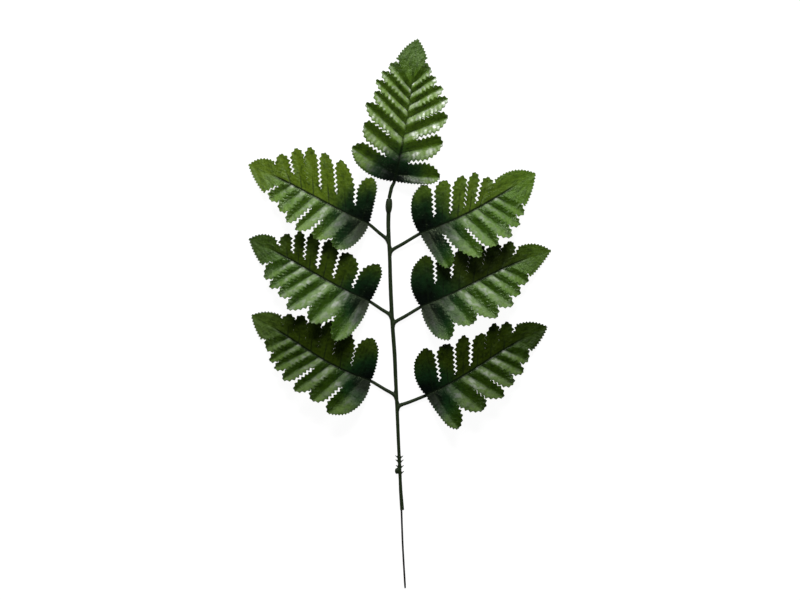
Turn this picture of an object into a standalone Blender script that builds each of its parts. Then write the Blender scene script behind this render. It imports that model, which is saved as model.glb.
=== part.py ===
# Artificial leatherleaf fern spray, lying on a surface.
# Seven pressed fabric leaves sit on moulded plastic stems round a steel wire.
# X runs to the right across the spray, Y towards the top leaf, Z up from the surface.

from collections import namedtuple
from math import cos, log, pi, radians, sin

import bmesh
import bpy
import numpy as np
from mathutils import Vector
from mathutils.geometry import delaunay_2d_cdt

MM = 0.001

# Fabric leaves, lengths in mm
SHEET_THICKNESS = 0.8
TOOTH_PITCH = 5.2
TOOTH_DEPTH = 1.5
MARGIN_TOOTH_PITCH = 4.4
VALLEY_SHARE = 0.35
PLEAT_START = 0.22
PLEAT_FADE = 0.55
END_PLEAT_FADE = 1.2
SLIT_OPENING = 0.08
TIP_CLEARANCE = 0.05
FLATTENING_START = 0.58
FLATTENING_LENGTH = 0.35
FLATTENING = 0.80
FIRST_LOBE_SPREAD = 0.045
ROUNDING_START = 0.74
ROUNDING_POWER = 0.55
LOBE_HALF_WIDTH = 0.064
LOBE_TAPER = 0.07
BOW_REACH = 0.30
VEIN_STATIONS = (0.10, 0.30, 0.55, 0.78, 0.92)
MIDRIB_STATIONS = {0.0, 0.80, 0.90, 1.0}
SLOPE_STEP = 0.02
TANGENT_STEP = 0.01

# Moulded stem, lengths in mm
STEM_SIDES = 12
BRANCH_RADIUS = 1.5
BRANCH_ROOT_RADIUS = 1.615
BRANCH_ROOT_SHARE = 0.9
BRANCH_STEPS = 3
BRANCH_SIDES = 8
SPINE_RADIUS = 1.4
SPINE_TIP_RADIUS = 0.45
SPINE_START = -0.005
SPINE_SHARE = 0.76
SPINE_GAP = 0.45
SPINE_ROOT_DROP = 0.50
SPINE_STATIONS = 13
SPINE_CROWDING = 1.4
SPINE_ROOT_REACH = 0.12
KNUCKLE_RADIUS = 2.9
KNUCKLE_NECK_RADIUS = 1.85
KNUCKLE_LENGTH = 11.5
KNUCKLE_CENTRE_Y = 89.7
KNUCKLE_STEPS = 6
KNUCKLE_FULLNESS = 0.6
STEM_END_Y = -163.6
TRUNK_STEP = 13.0
STEM_LINE_STEPS = 8
BRANCH_TURN = (2.2, 5.0, 0.15)
BRANCH_ROOT_RISE = 0.25
BRANCH_RUN_SHARE = 0.42
SOCKET_DEPTH = 5.2
FIT_GAP = 0.30
CUTTER_OVERRUN = 1.0
TWIG_RADIUS = 1.55
TWIG_PLUG_RADIUS = 0.95
TWIG_STEP = 0.02
TWIG_BENDS = ((0.05, 1.0, 0.0), (1.0, 5.0, 0.45), (2.0, 9.0, 0.9))
BARB_REACH = 3.5
BARB_RADIUS = 0.9
BARB_TIP_SHARE = 0.3
BARB_RISE = 2.8
BARB_TIP_LIFT = 0.2
BARB_SIDES = 6

# Steel wire, lengths in mm
WIRE_RADIUS = 0.75
WIRE_SIDES = 8
WIRE_TOP_Y = 80.0
BORE_TOP_Y = 80.6
TAIL_CLEARANCE = 0.02

# Points that the stem's centre line passes through, from the knuckle to the wire's end
STEM_LINE = (
    (-8.6, 97.2), (-9.3, 84.0), (-9.45, 70.5), (-8.35, 47.0), (-7.85, 28.0), (-7.15, 10.5),
    (-6.1, -9.2), (-4.3, -34.0), (-3.4, -55.0), (-2.2, -80.0), (-1.0, -109.0), (0.3, -136.0),
    (1.4, -163.6), (2.5, -193.5), (4.5, -228.6),
)

# The stem's radius, as (Y, radius) from its lower end up
STEM_RADII = (
    (-163.6, 1.72), (-138.0, 1.40), (-110.0, 1.46), (-60.0, 1.62), (-30.0, 1.74), (15.0, 1.74),
    (45.0, 1.62), (78.0, 1.80),
)

# Where each barb leaves the stem, along Y, with the side that it points to
BARBS = (
    (-121.0, 1), (-124.4, 1), (-129.0, 1), (-133.8, 1),
    (-120.8, -1), (-124.2, -1), (-128.8, -1),
)
KNOB_CENTRE = (-2.5, -131.2, 1.7)
KNOB_RADIUS = 1.8
KNOB_STRETCH = (1.0, 1.35, 0.9)

# One half of a leaf's cut outline, in fractions of the leaf's length.
# roots: where each lobe's vein leaves the midrib.
# tips: each lobe's tip, along the leaf and across it.
# shoulder: where the uncut end of the leaf starts, along and across.
# ends: how far from the midrib each slit between lobes stops.
# gaps: each slit's width in mm.
# slope: how steeply this half rises away from the midrib.
# swell: how far the first lobe's outer margin bulges.
# fold: depth in mm of the V that each lobe is pleated into.
Side = namedtuple("Side", "roots tips shoulder bulge ends gaps slope swell fold")

# base: the leaf's base in mm; length in mm; heading in degrees from X.
# bow and sway: the midrib's sideways bends in mm, one way and S-shaped.
# base_z, arch and peak shape its height.
Leaf = namedtuple("Leaf", "base length heading bow sway base_z arch peak left right")

LEAVES = {
    "leaf_left_1": Leaf(
        (-25.4, 73.8), 112.0, 153.7, -0.7, 0.6, 7.4, 6.5, 0.45,
        Side(
            (0.06, 0.215, 0.35, 0.46, 0.56, 0.65),
            ((0.139, 0.271), (0.300, 0.273), (0.460, 0.279), (0.551, 0.258), (0.637, 0.205),
             (0.734, 0.165)),
            (0.800, 0.140), 0.012,
            (0.11, 0.12, 0.081, 0.07, 0.06, 0.05), (0.7, 1.8, 1.8, 0.6, 0.6, 1.6),
            0.36, 0.032, 2.0,
        ),
        Side(
            (0.06, 0.19, 0.33, 0.46, 0.56, 0.65),
            ((0.127, 0.317), (0.386, 0.333), (0.525, 0.331), (0.642, 0.321), (0.733, 0.265),
             (0.826, 0.166)),
            (0.850, 0.104), 0.030,
            (0.079, 0.090, 0.070, 0.061, 0.075, 0.076), (2.2, 1.5, 1.6, 0.8, 1.6, 0.6),
            0.04, 0.005, 0.9,
        ),
    ),
    "leaf_left_2": Leaf(
        (-24.7, 9.6), 113.5, 152.6, 0.1, 0.7, 5.6, 5.0, 0.45,
        Side(
            (0.06, 0.215, 0.35, 0.46, 0.56, 0.65),
            ((0.102, 0.369), (0.313, 0.331), (0.509, 0.323), (0.606, 0.262), (0.697, 0.244),
             (0.768, 0.200)),
            (0.827, 0.127), 0.010,
            (0.10, 0.09, 0.08, 0.07, 0.06, 0.07), (0.7, 0.7, 0.7, 0.7, 0.6, 1.2),
            0.36, 0.034, 2.0,
        ),
        Side(
            (0.08, 0.24, 0.385, 0.50, 0.595, 0.685),
            ((0.069, 0.273), (0.288, 0.244), (0.450, 0.275), (0.600, 0.250), (0.690, 0.222),
             (0.775, 0.155)),
            (0.820, 0.094), 0.030,
            (0.035, 0.035, 0.040, 0.050, 0.051, 0.052), (1.8, 1.8, 2.6, 1.4, 1.8, 2.2),
            0.10, 0.010, 0.9,
        ),
    ),
    "leaf_left_3": Leaf(
        (-23.9, -56.4), 113.7, 151.2, 2.7, 1.3, 4.5, 4.0, 0.45,
        Side(
            (0.06, 0.20, 0.32, 0.42, 0.51, 0.60, 0.68),
            ((0.159, 0.348), (0.305, 0.324), (0.450, 0.327), (0.568, 0.292), (0.660, 0.253),
             (0.717, 0.224), (0.784, 0.156)),
            (0.849, 0.118), 0.010,
            (0.12, 0.10, 0.09, 0.08, 0.07, 0.06, 0.05), (1.8, 0.6, 2.0, 0.6, 0.6, 0.6, 0.5),
            0.34, 0.070, 2.0,
        ),
        Side(
            (0.09, 0.245, 0.38, 0.49, 0.595, 0.69),
            ((0.141, 0.283), (0.350, 0.255), (0.460, 0.255), (0.580, 0.205), (0.675, 0.185),
             (0.760, 0.145)),
            (0.805, 0.108), 0.025,
            (0.045, 0.04, 0.035, 0.035, 0.04, 0.05), (1.0, 0.8, 0.7, 0.7, 0.6, 0.6),
            0.12, 0.020, 0.9,
        ),
    ),
    "leaf_right_1": Leaf(
        (16.5, 66.0), 108.9, 27.6, -3.4, -0.4, 7.4, 6.5, 0.45,
        Side(
            (0.06, 0.18, 0.31, 0.41, 0.50),
            ((0.192, 0.319), (0.346, 0.279), (0.485, 0.247), (0.592, 0.227), (0.665, 0.150)),
            (0.703, 0.112), 0.048,
            (0.074, 0.051, 0.040, 0.032, 0.026), (2.0, 1.6, 1.1, 1.8, 0.8),
            0.04, 0.055, 0.9,
        ),
        Side(
            (0.06, 0.23, 0.37, 0.475, 0.565, 0.65),
            ((0.075, 0.332), (0.320, 0.370), (0.470, 0.350), (0.602, 0.344), (0.703, 0.293),
             (0.774, 0.226)),
            (0.815, 0.178), 0.012,
            (0.067, 0.10, 0.08, 0.07, 0.06, 0.05), (1.8, 1.7, 0.7, 0.6, 0.6, 0.5),
            0.34, 0.005, 2.0,
        ),
    ),
    "leaf_right_2": Leaf(
        (17.5, 5.3), 118.1, 23.4, 1.4, -1.0, 5.6, 5.0, 0.45,
        Side(
            (0.06, 0.17, 0.29, 0.40, 0.51, 0.62),
            ((0.172, 0.320), (0.300, 0.290), (0.430, 0.270), (0.550, 0.240), (0.660, 0.200),
             (0.765, 0.165)),
            (0.800, 0.108), 0.030,
            (0.11, 0.10, 0.068, 0.070, 0.06, 0.06), (1.8, 1.7, 0.8, 0.8, 0.6, 1.5),
            0.10, 0.065, 0.9,
        ),
        Side(
            (0.06, 0.20, 0.33, 0.45, 0.55, 0.64),
            ((0.091, 0.288), (0.276, 0.250), (0.450, 0.279), (0.592, 0.248), (0.670, 0.200),
             (0.758, 0.145)),
            (0.800, 0.118), 0.008,
            (0.12, 0.12, 0.10, 0.09, 0.08, 0.06), (0.8, 0.9, 0.7, 0.7, 0.6, 0.5),
            0.36, 0.035, 2.0,
        ),
    ),
    "leaf_right_3": Leaf(
        (21.6, -68.3), 116.4, 29.4, 0.2, -1.25, 4.5, 4.0, 0.45,
        Side(
            (0.06, 0.18, 0.30, 0.42, 0.53, 0.64),
            ((0.157, 0.298), (0.295, 0.256), (0.446, 0.243), (0.545, 0.190), (0.672, 0.209),
             (0.765, 0.168)),
            (0.805, 0.118), 0.025,
            (0.045, 0.035, 0.035, 0.06, 0.06, 0.074), (1.6, 1.5, 2.2, 0.7, 0.6, 1.6),
            0.16, 0.055, 0.9,
        ),
        Side(
            (0.06, 0.20, 0.33, 0.45, 0.56, 0.65),
            ((0.088, 0.314), (0.305, 0.285), (0.475, 0.275), (0.580, 0.235), (0.687, 0.199),
             (0.758, 0.145)),
            (0.825, 0.100), 0.010,
            (0.12, 0.12, 0.12, 0.10, 0.09, 0.07), (0.8, 1.0, 1.1, 0.8, 0.6, 0.5),
            0.32, 0.010, 2.0,
        ),
    ),
    "leaf_top": Leaf(
        (-4.5, 109.5), 120.6, 80.73, -2.0, -0.3, 6.8, 6.0, 0.42,
        Side(
            (0.05, 0.18, 0.30, 0.40, 0.49, 0.57, 0.64),
            ((0.180, 0.322), (0.341, 0.269), (0.491, 0.279), (0.580, 0.234), (0.661, 0.238),
             (0.730, 0.207), (0.793, 0.163)),
            (0.842, 0.122), 0.015,
            (0.086, 0.08, 0.08, 0.08, 0.07, 0.07, 0.06), (1.8, 1.3, 0.7, 0.7, 0.6, 0.6, 0.6),
            0.18, 0.050, 2.6,
        ),
        Side(
            (0.05, 0.20, 0.33, 0.44, 0.53, 0.61, 0.68),
            ((0.075, 0.304), (0.305, 0.283), (0.486, 0.291), (0.619, 0.270), (0.687, 0.220),
             (0.752, 0.163), (0.805, 0.118)),
            (0.875, 0.081), 0.008,
            (0.065, 0.09, 0.09, 0.08, 0.07, 0.06, 0.05), (2.2, 2.2, 1.0, 0.7, 0.6, 0.6, 0.5),
            0.18, 0.010, 2.6,
        ),
    ),
}

# Where each side branch leaves the stem, along Y, below the leaf that it carries
BRANCH_ROOTS = {
    "leaf_left_1": 57.0,
    "leaf_right_1": 47.4,
    "leaf_left_2": -5.9,
    "leaf_right_2": -12.5,
    "leaf_left_3": -72.6,
    "leaf_right_3": -82.0,
}


def clear_scene():
    for thing in list(bpy.data.objects):
        bpy.data.objects.remove(thing, do_unlink=True)


def principled(name, colour, roughness, metallic=0.0):
    material = bpy.data.materials.new(name)
    material.use_nodes = True
    shader = material.node_tree.nodes["Principled BSDF"]
    shader.inputs["Base Color"].default_value = (*colour, 1.0)
    shader.inputs["Roughness"].default_value = roughness
    shader.inputs["Metallic"].default_value = metallic
    return material


def new_object(name, mesh, material):
    mesh.materials.append(material)
    thing = bpy.data.objects.new(name, mesh)
    bpy.context.scene.collection.objects.link(thing)
    return thing


# Plan of a leaf: u along the midrib and v across it, both in fractions of its length

def vein_point(side, lobe, t):
    """A lobe's vein, straight from its root on the midrib to the lobe's tip."""
    root = np.array((side.roots[lobe], 0.0))
    tip = np.array(side.tips[lobe])
    return root + t * (tip - root)


def slit_point(side, slit, t):
    """The line between two neighbouring lobes, midway between their veins."""
    count = len(side.roots)
    if slit == 0:
        tip = np.array(side.tips[0])
        along = (tip - vein_point(side, 0, 0.0)) / np.linalg.norm(tip - vein_point(side, 0, 0.0))
        outward = np.array((-along[1], along[0]))
        outer = tip + FIRST_LOBE_SPREAD * outward
        return t * outer + side.swell * 4.0 * t * (1.0 - t) * outward
    if slit == count:
        last_step = side.roots[-1] - side.roots[-2]
        root = np.array((side.roots[-1] + 0.5 * last_step, 0.0))
        return root + t * (np.array(side.shoulder) - root)
    return 0.5 * (vein_point(side, slit - 1, t) + vein_point(side, slit, t))


def slit_end(side, slit):
    """The share of a slit line that is still whole fabric, next to the midrib."""
    if slit == 0:
        return 0.0
    return side.ends[slit - 1] / slit_point(side, slit, 1.0)[1]


def rounding(t):
    """How far a lobe's half width has closed at t, from 1 to 0 at the tip."""
    share = max(0.0, (t - ROUNDING_START) / (1.0 - ROUNDING_START))
    return (1.0 - share ** 2.0) ** ROUNDING_POWER


def lobe_margin(side, lobe, hand, t, length):
    """The smooth margin of a lobe; hand is -1 on its base side and 1 on its tip side."""
    slit = lobe if hand < 0 else lobe + 1
    vein = vein_point(side, lobe, t)
    line = slit_point(side, slit, t)
    half_gap = 0.0
    if slit > 0:
        opening = min(1.0, max(0.0, (t - slit_end(side, slit)) / SLIT_OPENING))
        half_gap = 0.5 * side.gaps[slit - 1] / length * opening
    offset = line - vein
    width = max(np.linalg.norm(offset), 1e-6)
    kept = width - half_gap
    if slit > 0 and t > slit_end(side, slit):
        kept = min(kept, LOBE_HALF_WIDTH + LOBE_TAPER * (1.0 - t))
    return vein + offset * kept / width * rounding(t)


def end_margin(side, t, length):
    """The uncut end's margin: out along the last slit, then round to the leaf's tip."""
    count = len(side.roots)
    shoulder = np.array(side.shoulder)
    if t <= 1.0:
        line = slit_point(side, count, t)
        opening = min(1.0, max(0.0, (t - slit_end(side, count)) / SLIT_OPENING))
        return line + np.array((0.5 * side.gaps[-1] / length * opening, 0.0))
    share = t - 1.0
    start = shoulder + np.array((0.5 * side.gaps[-1] / length, 0.0))
    tip = np.array((1.0, 0.0))
    chord = tip - start
    outward = np.array((-chord[1], chord[0])) / np.linalg.norm(chord)
    control = 0.5 * (start + tip) + 2.0 * side.bulge * outward
    return (1 - share) ** 2 * start + 2 * share * (1 - share) * control + share ** 2 * tip


def tooth_count(start, finish, pitch, length):
    return max(2, round(np.linalg.norm(finish - start) * length / pitch))


def slit_stations(side, slit, length):
    """Where the teeth's points and notches lie along a slit, two a tooth."""
    start = slit_end(side, slit)
    teeth = tooth_count(
        slit_point(side, slit, start), slit_point(side, slit, 1.0), TOOTH_PITCH, length
    )
    return np.linspace(start, 1.0, 2 * teeth + 1)


def toothed(curve, stations, length):
    """A smooth margin with teeth: its points are pushed to one side and the other by turns."""
    points = []
    for index, t in enumerate(stations):
        ahead = curve(min(t + TANGENT_STEP, stations[-1]))
        behind = curve(max(t - TANGENT_STEP, stations[0]))
        along = (ahead - behind) / np.linalg.norm(ahead - behind)
        normal = np.array((-along[1], along[0]))
        at_end = index in (0, len(stations) - 1)
        push = 0.0 if at_end else (-1) ** index * 0.5 * TOOTH_DEPTH / length
        points.append(curve(t) + push * normal)
    return points


def pleat(side, t, across):
    """Height of a lobe's V pleat in mm: low along the vein and high at its margins."""
    start = min(1.0, t / PLEAT_START)
    finish = 1.0 - PLEAT_FADE * t * t
    return side.fold * (across - VALLEY_SHARE) * start * finish


def lobe_outline(leaf, side, lobe, hand):
    """One margin of a lobe from its slit's end to its tip: (u, v, pleat height)."""
    slit = lobe if hand < 0 else lobe + 1
    stations = slit_stations(side, slit, leaf.length)
    run = toothed(lambda t: lobe_margin(side, lobe, hand, t, leaf.length), stations, leaf.length)
    return [(point[0], point[1], pleat(side, t, rounding(t))) for point, t in zip(run, stations)]


def end_outline(leaf, side):
    """The margin of the leaf's uncut end, from the last slit's end to the leaf's tip."""
    teeth = tooth_count(
        np.array(side.shoulder), np.array((1.0, 0.0)), MARGIN_TOOTH_PITCH, leaf.length
    )
    margin = np.linspace(1.0, 2.0, 2 * teeth + 1)[1:]
    stations = np.concatenate((slit_stations(side, len(side.roots), leaf.length), margin))
    run = toothed(lambda t: end_margin(side, t, leaf.length), stations, leaf.length)
    points = []
    for point, t in zip(run, stations):
        fade = min(1.0, max(0.0, (2.0 - t) / END_PLEAT_FADE))
        points.append((point[0], point[1], pleat(side, min(t, 1.0), 1.0) * fade))
    return points


def half_outline(leaf, side):
    """One half's outline, from the leaf's base along its lobes to the leaf's tip."""
    points = lobe_outline(leaf, side, 0, -1)
    for lobe in range(len(side.roots)):
        if lobe > 0:
            points += lobe_outline(leaf, side, lobe, -1)[1:]
        points += lobe_outline(leaf, side, lobe, 1)[-2::-1]
    points += end_outline(leaf, side)[1:]
    return points


def crease_lines(side):
    """The veins, and the folds from the slits to the midrib, as runs of (u, v, pleat height)."""
    lines = []
    for lobe in range(len(side.roots)):
        stations = (0.0,) + VEIN_STATIONS
        run = [vein_point(side, lobe, t) for t in stations]
        lines.append([(p[0], p[1], pleat(side, t, 0.0)) for p, t in zip(run, stations)])
    for slit in range(1, len(side.roots) + 1):
        stations = (0.0, 0.5 * slit_end(side, slit), slit_end(side, slit))
        run = [slit_point(side, slit, t) for t in stations]
        lines.append([(p[0], p[1], pleat(side, t, 1.0)) for p, t in zip(run, stations)])
    return lines


# Height and place of a leaf's points, in mm

def leaf_height(leaf, slope, u, v):
    """Height of a leaf's middle surface in mm, before its pleats."""
    reach = min(max(u, 0.0), 1.0)
    tip_z = 0.5 * SHEET_THICKNESS + TIP_CLEARANCE
    power = log(0.5) / log(leaf.peak)
    arch = leaf.arch * sin(pi * reach ** power)
    level = min(1.0, max(0.0, (u - FLATTENING_START) / FLATTENING_LENGTH))
    rise = slope * v * leaf.length * (1.0 - FLATTENING * level)
    return leaf.base_z * (1.0 - reach) + tip_z * reach + arch + rise


def place(leaf, hand, u, v):
    """Plan position in mm of a leaf's point; hand is 1 left of its heading and -1 right."""
    heading = radians(leaf.heading)
    bend = leaf.bow * sin(pi * u) + leaf.sway * sin(2.0 * pi * u)
    across = hand * v * leaf.length + bend * max(0.0, 1.0 - v / BOW_REACH)
    x = leaf.base[0] + u * leaf.length * cos(heading) - across * sin(heading)
    y = leaf.base[1] + u * leaf.length * sin(heading) + across * cos(heading)
    return x, y


def leaf_points(leaf, side, hand, run):
    """Points in mm of a run of (u, v, pleat height) on one half of a leaf."""
    return [
        (*place(leaf, hand, u, v), leaf_height(leaf, side.slope, u, v) + lift)
        for u, v, lift in run
    ]


def build_leaf(name, leaf, material):
    """A pressed fabric leaf: its toothed outline and creases, filled and given thickness."""
    left = leaf_points(leaf, leaf.left, 1, half_outline(leaf, leaf.left))
    right = leaf_points(leaf, leaf.right, -1, half_outline(leaf, leaf.right))
    outline = right + left[-2:0:-1]
    points = list(outline)
    edges = [(k, (k + 1) % len(outline)) for k in range(len(outline))]

    def add_run(run):
        first = len(points)
        points.extend(run)
        edges.extend((first + k, first + k + 1) for k in range(len(run) - 1))

    add_run([
        (*place(leaf, 1, u, 0.0), leaf_height(leaf, 0.0, u, 0.0))
        for u in midrib_stations(leaf)
    ])
    for side, hand in ((leaf.left, 1), (leaf.right, -1)):
        for run in crease_lines(side):
            add_run(leaf_points(leaf, side, hand, run))
    return filled_sheet(name, points, edges, material)


def midrib_stations(leaf):
    """Where the midrib's points lie, from the base to the tip, with each vein's root."""
    roots = set(leaf.left.roots) | set(leaf.right.roots)
    for side in (leaf.left, leaf.right):
        for slit in range(1, len(side.roots) + 1):
            roots.add(float(slit_point(side, slit, 0.0)[0]))
    return sorted(roots | MIDRIB_STATIONS)


def filled_sheet(name, points, edges, material):
    """Triangles between the given lines, raised to their heights and thickened downwards."""
    flat = [Vector((x, y)) for x, y, z in points]
    found = delaunay_2d_cdt(flat, edges, [], 1, 1e-4)
    corners, faces, sources = found[0], found[2], found[3]
    half = 0.5 * SHEET_THICKNESS
    heights = [points[source[0]][2] for source in sources]
    top = [(p.x * MM, p.y * MM, (z + half) * MM) for p, z in zip(corners, heights)]
    bottom = [(p.x * MM, p.y * MM, (z - half) * MM) for p, z in zip(corners, heights)]
    shift = len(top)
    upper = [tuple(face) for face in faces]
    lower = [tuple(k + shift for k in reversed(face)) for face in faces]
    rim = {}
    for face in upper:
        for a, b in zip(face, face[1:] + face[:1]):
            rim[(a, b)] = True
    walls = [(b, a, a + shift, b + shift) for a, b in rim if (b, a) not in rim]
    mesh = bpy.data.meshes.new(name)
    mesh.from_pydata(top + bottom, [], upper + lower + walls)
    mesh.update()
    return new_object(name, mesh, material)


# Moulded stem, twig and wire

def smooth_line(points, steps):
    """Points of a Catmull-Rom curve through the given ones, steps to each stretch."""
    knots = [np.array(p, dtype=float) for p in points]
    knots = [2 * knots[0] - knots[1], *knots, 2 * knots[-1] - knots[-2]]
    line = []
    for a, b, c, d in zip(knots, knots[1:], knots[2:], knots[3:]):
        for step in range(steps):
            t = step / steps
            line.append(0.5 * (
                2 * b + (c - a) * t + (2 * a - 5 * b + 4 * c - d) * t * t
                + (3 * b - a - 3 * c + d) * t ** 3
            ))
    line.append(knots[-2])
    return line


def tube_mesh(name, line, radii, sides, twist=0.0):
    """A closed tube along a line of points in mm, with flat ends."""
    count = len(line)
    points = []
    for k, centre in enumerate(line):
        ahead = Vector(line[min(k + 1, count - 1)])
        behind = Vector(line[max(k - 1, 0)])
        along = (ahead - behind).normalized()
        across = along.cross(Vector((0.0, 0.0, 1.0))).normalized()
        upward = across.cross(along)
        for corner in range(sides):
            angle = 2.0 * pi * (corner + twist) / sides
            ring = across * cos(angle) + upward * sin(angle)
            points.append((Vector(centre) + ring * float(radii[k])) * MM)
    faces = [tuple(range(sides))[::-1], tuple(range((count - 1) * sides, count * sides))]
    for k in range(count - 1):
        for corner in range(sides):
            a = k * sides + corner
            b = k * sides + (corner + 1) % sides
            faces.append((a, b, b + sides, a + sides))
    mesh = bpy.data.meshes.new(name)
    mesh.from_pydata(points, [], faces)
    edit = bmesh.new()
    edit.from_mesh(mesh)
    bmesh.ops.recalc_face_normals(edit, faces=edit.faces)
    edit.to_mesh(mesh)
    edit.free()
    return mesh


def flat_foot_height(radius):
    """Height of the stem's centre where its lowest facet lies on the surface."""
    return radius * cos(pi / STEM_SIDES)


def trunk_line(top_y, bottom_y, step):
    """The stem's centre line in plan between two heights, with points about a step apart."""
    count = max(2, round((top_y - bottom_y) / step))
    ys = np.linspace(top_y, bottom_y, count + 1)
    return [(smooth_stem_x(y), float(y)) for y in ys]


def smooth_stem_x(y):
    """The smoothed centre line's X at a given Y."""
    line = smooth_line(STEM_LINE, STEM_LINE_STEPS)
    ys = [p[1] for p in reversed(line)]
    xs = [p[0] for p in reversed(line)]
    return float(np.interp(y, ys, xs))


def stem_radius(y):
    """The stem's radius at a given Y."""
    ys, radii = zip(*STEM_RADII)
    return float(np.interp(y, ys, radii))


def stem_height(y):
    """Height of the stem's centre line at a given Y, where it lies on the surface."""
    return flat_foot_height(stem_radius(y))


def carried_line(leaf):
    """The spine's centre line, under a leaf's midrib from its base on."""
    line = []
    radii = []
    for share in np.linspace(0.0, 1.0, SPINE_STATIONS) ** SPINE_CROWDING:
        u = SPINE_START + share * (SPINE_SHARE - SPINE_START)
        radius = SPINE_RADIUS + share * (SPINE_TIP_RADIUS - SPINE_RADIUS)
        x, y = place(leaf, 1, u, 0.0)
        sheet_bottom = leaf_height(leaf, 0.0, u, 0.0) - 0.5 * SHEET_THICKNESS
        ahead = leaf_height(leaf, 0.0, u + SLOPE_STEP, 0.0)
        behind = leaf_height(leaf, 0.0, u - SLOPE_STEP, 0.0)
        slope = (ahead - behind) / (2.0 * SLOPE_STEP * leaf.length)
        drop = (SPINE_GAP + radius) * (1.0 + slope * slope) ** 0.5
        root_drop = SPINE_ROOT_DROP * max(0.0, 1.0 - u / SPINE_ROOT_REACH)
        line.append((x, y, sheet_bottom - drop - root_drop))
        radii.append(radius)
    return line, radii


def branch_mesh(name, leaf, root_y):
    """A side branch: it flares out of the stem and runs on as the leaf's spine."""
    spine, spine_radii = carried_line(leaf)
    side = 1.0 if leaf.base[0] > 0.0 else -1.0
    root = (smooth_stem_x(root_y), root_y, stem_height(root_y) + BRANCH_ROOT_RISE)
    out, forward, rise = BRANCH_TURN
    turn_y = root_y + forward
    turn = (smooth_stem_x(turn_y) + side * out, turn_y, root[2] + rise)
    run_y = turn_y + BRANCH_RUN_SHARE * (spine[0][1] - turn_y)
    run_x = turn[0] + BRANCH_RUN_SHARE * (spine[0][0] - turn[0])
    run = (run_x, run_y, 0.5 * (turn[2] + spine[0][2]))
    first = BRANCH_ROOT_SHARE * stem_radius(root_y)
    lead_radii = (first, BRANCH_ROOT_RADIUS, BRANCH_RADIUS, SPINE_RADIUS)
    count = BRANCH_STEPS * (len(lead_radii) - 1)
    lead = smooth_line([root, turn, run, spine[0], spine[1]], BRANCH_STEPS)[:count]
    radii = np.interp(np.arange(count) / BRANCH_STEPS, np.arange(len(lead_radii)), lead_radii)
    return tube_mesh(name, [*lead, *spine], [*radii, *spine_radii], BRANCH_SIDES)


def knuckle_mesh(name):
    """The barrel-shaped knuckle at the top of the stem: its lower half lies on the surface."""
    line = []
    radii = []
    for share in np.linspace(0.0, 1.0, KNUCKLE_STEPS + 1):
        y = KNUCKLE_CENTRE_Y + KNUCKLE_LENGTH * (0.5 - share)
        swelling = max(0.0, sin(pi * share)) ** KNUCKLE_FULLNESS
        radius = KNUCKLE_NECK_RADIUS + (KNUCKLE_RADIUS - KNUCKLE_NECK_RADIUS) * swelling
        foot_radius = radius if share > 0.5 else KNUCKLE_RADIUS
        line.append((smooth_stem_x(y), y, flat_foot_height(foot_radius)))
        radii.append(radius)
    return tube_mesh(name, line, radii, STEM_SIDES, 0.5)


def barb_mesh(name, root_y, side):
    """A small barb that leans up and out of the stem."""
    height = stem_height(root_y)
    x = smooth_stem_x(root_y)
    start = (x, root_y, height)
    finish = (x + side * BARB_REACH, root_y + BARB_RISE, height + BARB_TIP_LIFT)
    radii = [BARB_RADIUS, BARB_TIP_SHARE * BARB_RADIUS]
    return tube_mesh(name, [start, finish], radii, BARB_SIDES)


def knob_mesh(name):
    """The small lump beside the barbs."""
    mesh = bpy.data.meshes.new(name)
    edit = bmesh.new()
    bmesh.ops.create_icosphere(edit, subdivisions=2, radius=KNOB_RADIUS * MM)
    bmesh.ops.scale(edit, vec=KNOB_STRETCH, verts=edit.verts)
    bmesh.ops.translate(edit, vec=Vector(KNOB_CENTRE) * MM, verts=edit.verts)
    edit.to_mesh(mesh)
    edit.free()
    return mesh


def trunk_mesh(name):
    """The stem's main run, with a square-cut lower end."""
    line = []
    radii = []
    for x, y in trunk_line(KNUCKLE_CENTRE_Y, STEM_END_Y, TRUNK_STEP):
        line.append((x, y, stem_height(y)))
        radii.append(stem_radius(y))
    return tube_mesh(name, line, radii, STEM_SIDES, 0.5)


def joined(name, meshes, material):
    """One object from overlapping closed meshes, joined by a Boolean union."""
    first = new_object(name, meshes[0], material)
    extra = bpy.data.collections.new(name + "_pieces")
    for k, mesh in enumerate(meshes[1:]):
        extra.objects.link(bpy.data.objects.new(f"{name}_piece_{k}", mesh))
    union = first.modifiers.new("union", "BOOLEAN")
    union.operation = "UNION"
    union.operand_type = "COLLECTION"
    union.collection = extra
    union.solver = "EXACT"
    apply_modifiers(first)
    for thing in list(extra.objects):
        bpy.data.objects.remove(thing, do_unlink=True)
    bpy.data.collections.remove(extra)
    return first


def apply_modifiers(thing):
    graph = bpy.context.evaluated_depsgraph_get()
    mesh = bpy.data.meshes.new_from_object(thing.evaluated_get(graph))
    thing.modifiers.clear()
    thing.data = mesh


def cut_away(thing, meshes):
    """Removes overlapping closed meshes from an object."""
    for k, mesh in enumerate(meshes):
        cutter = bpy.data.objects.new(f"{thing.name}_cutter_{k}", mesh)
        bpy.context.scene.collection.objects.link(cutter)
        cut = thing.modifiers.new("cut", "BOOLEAN")
        cut.operation = "DIFFERENCE"
        cut.object = cutter
        cut.solver = "EXACT"
        apply_modifiers(thing)
        bpy.data.objects.remove(cutter, do_unlink=True)


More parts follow.
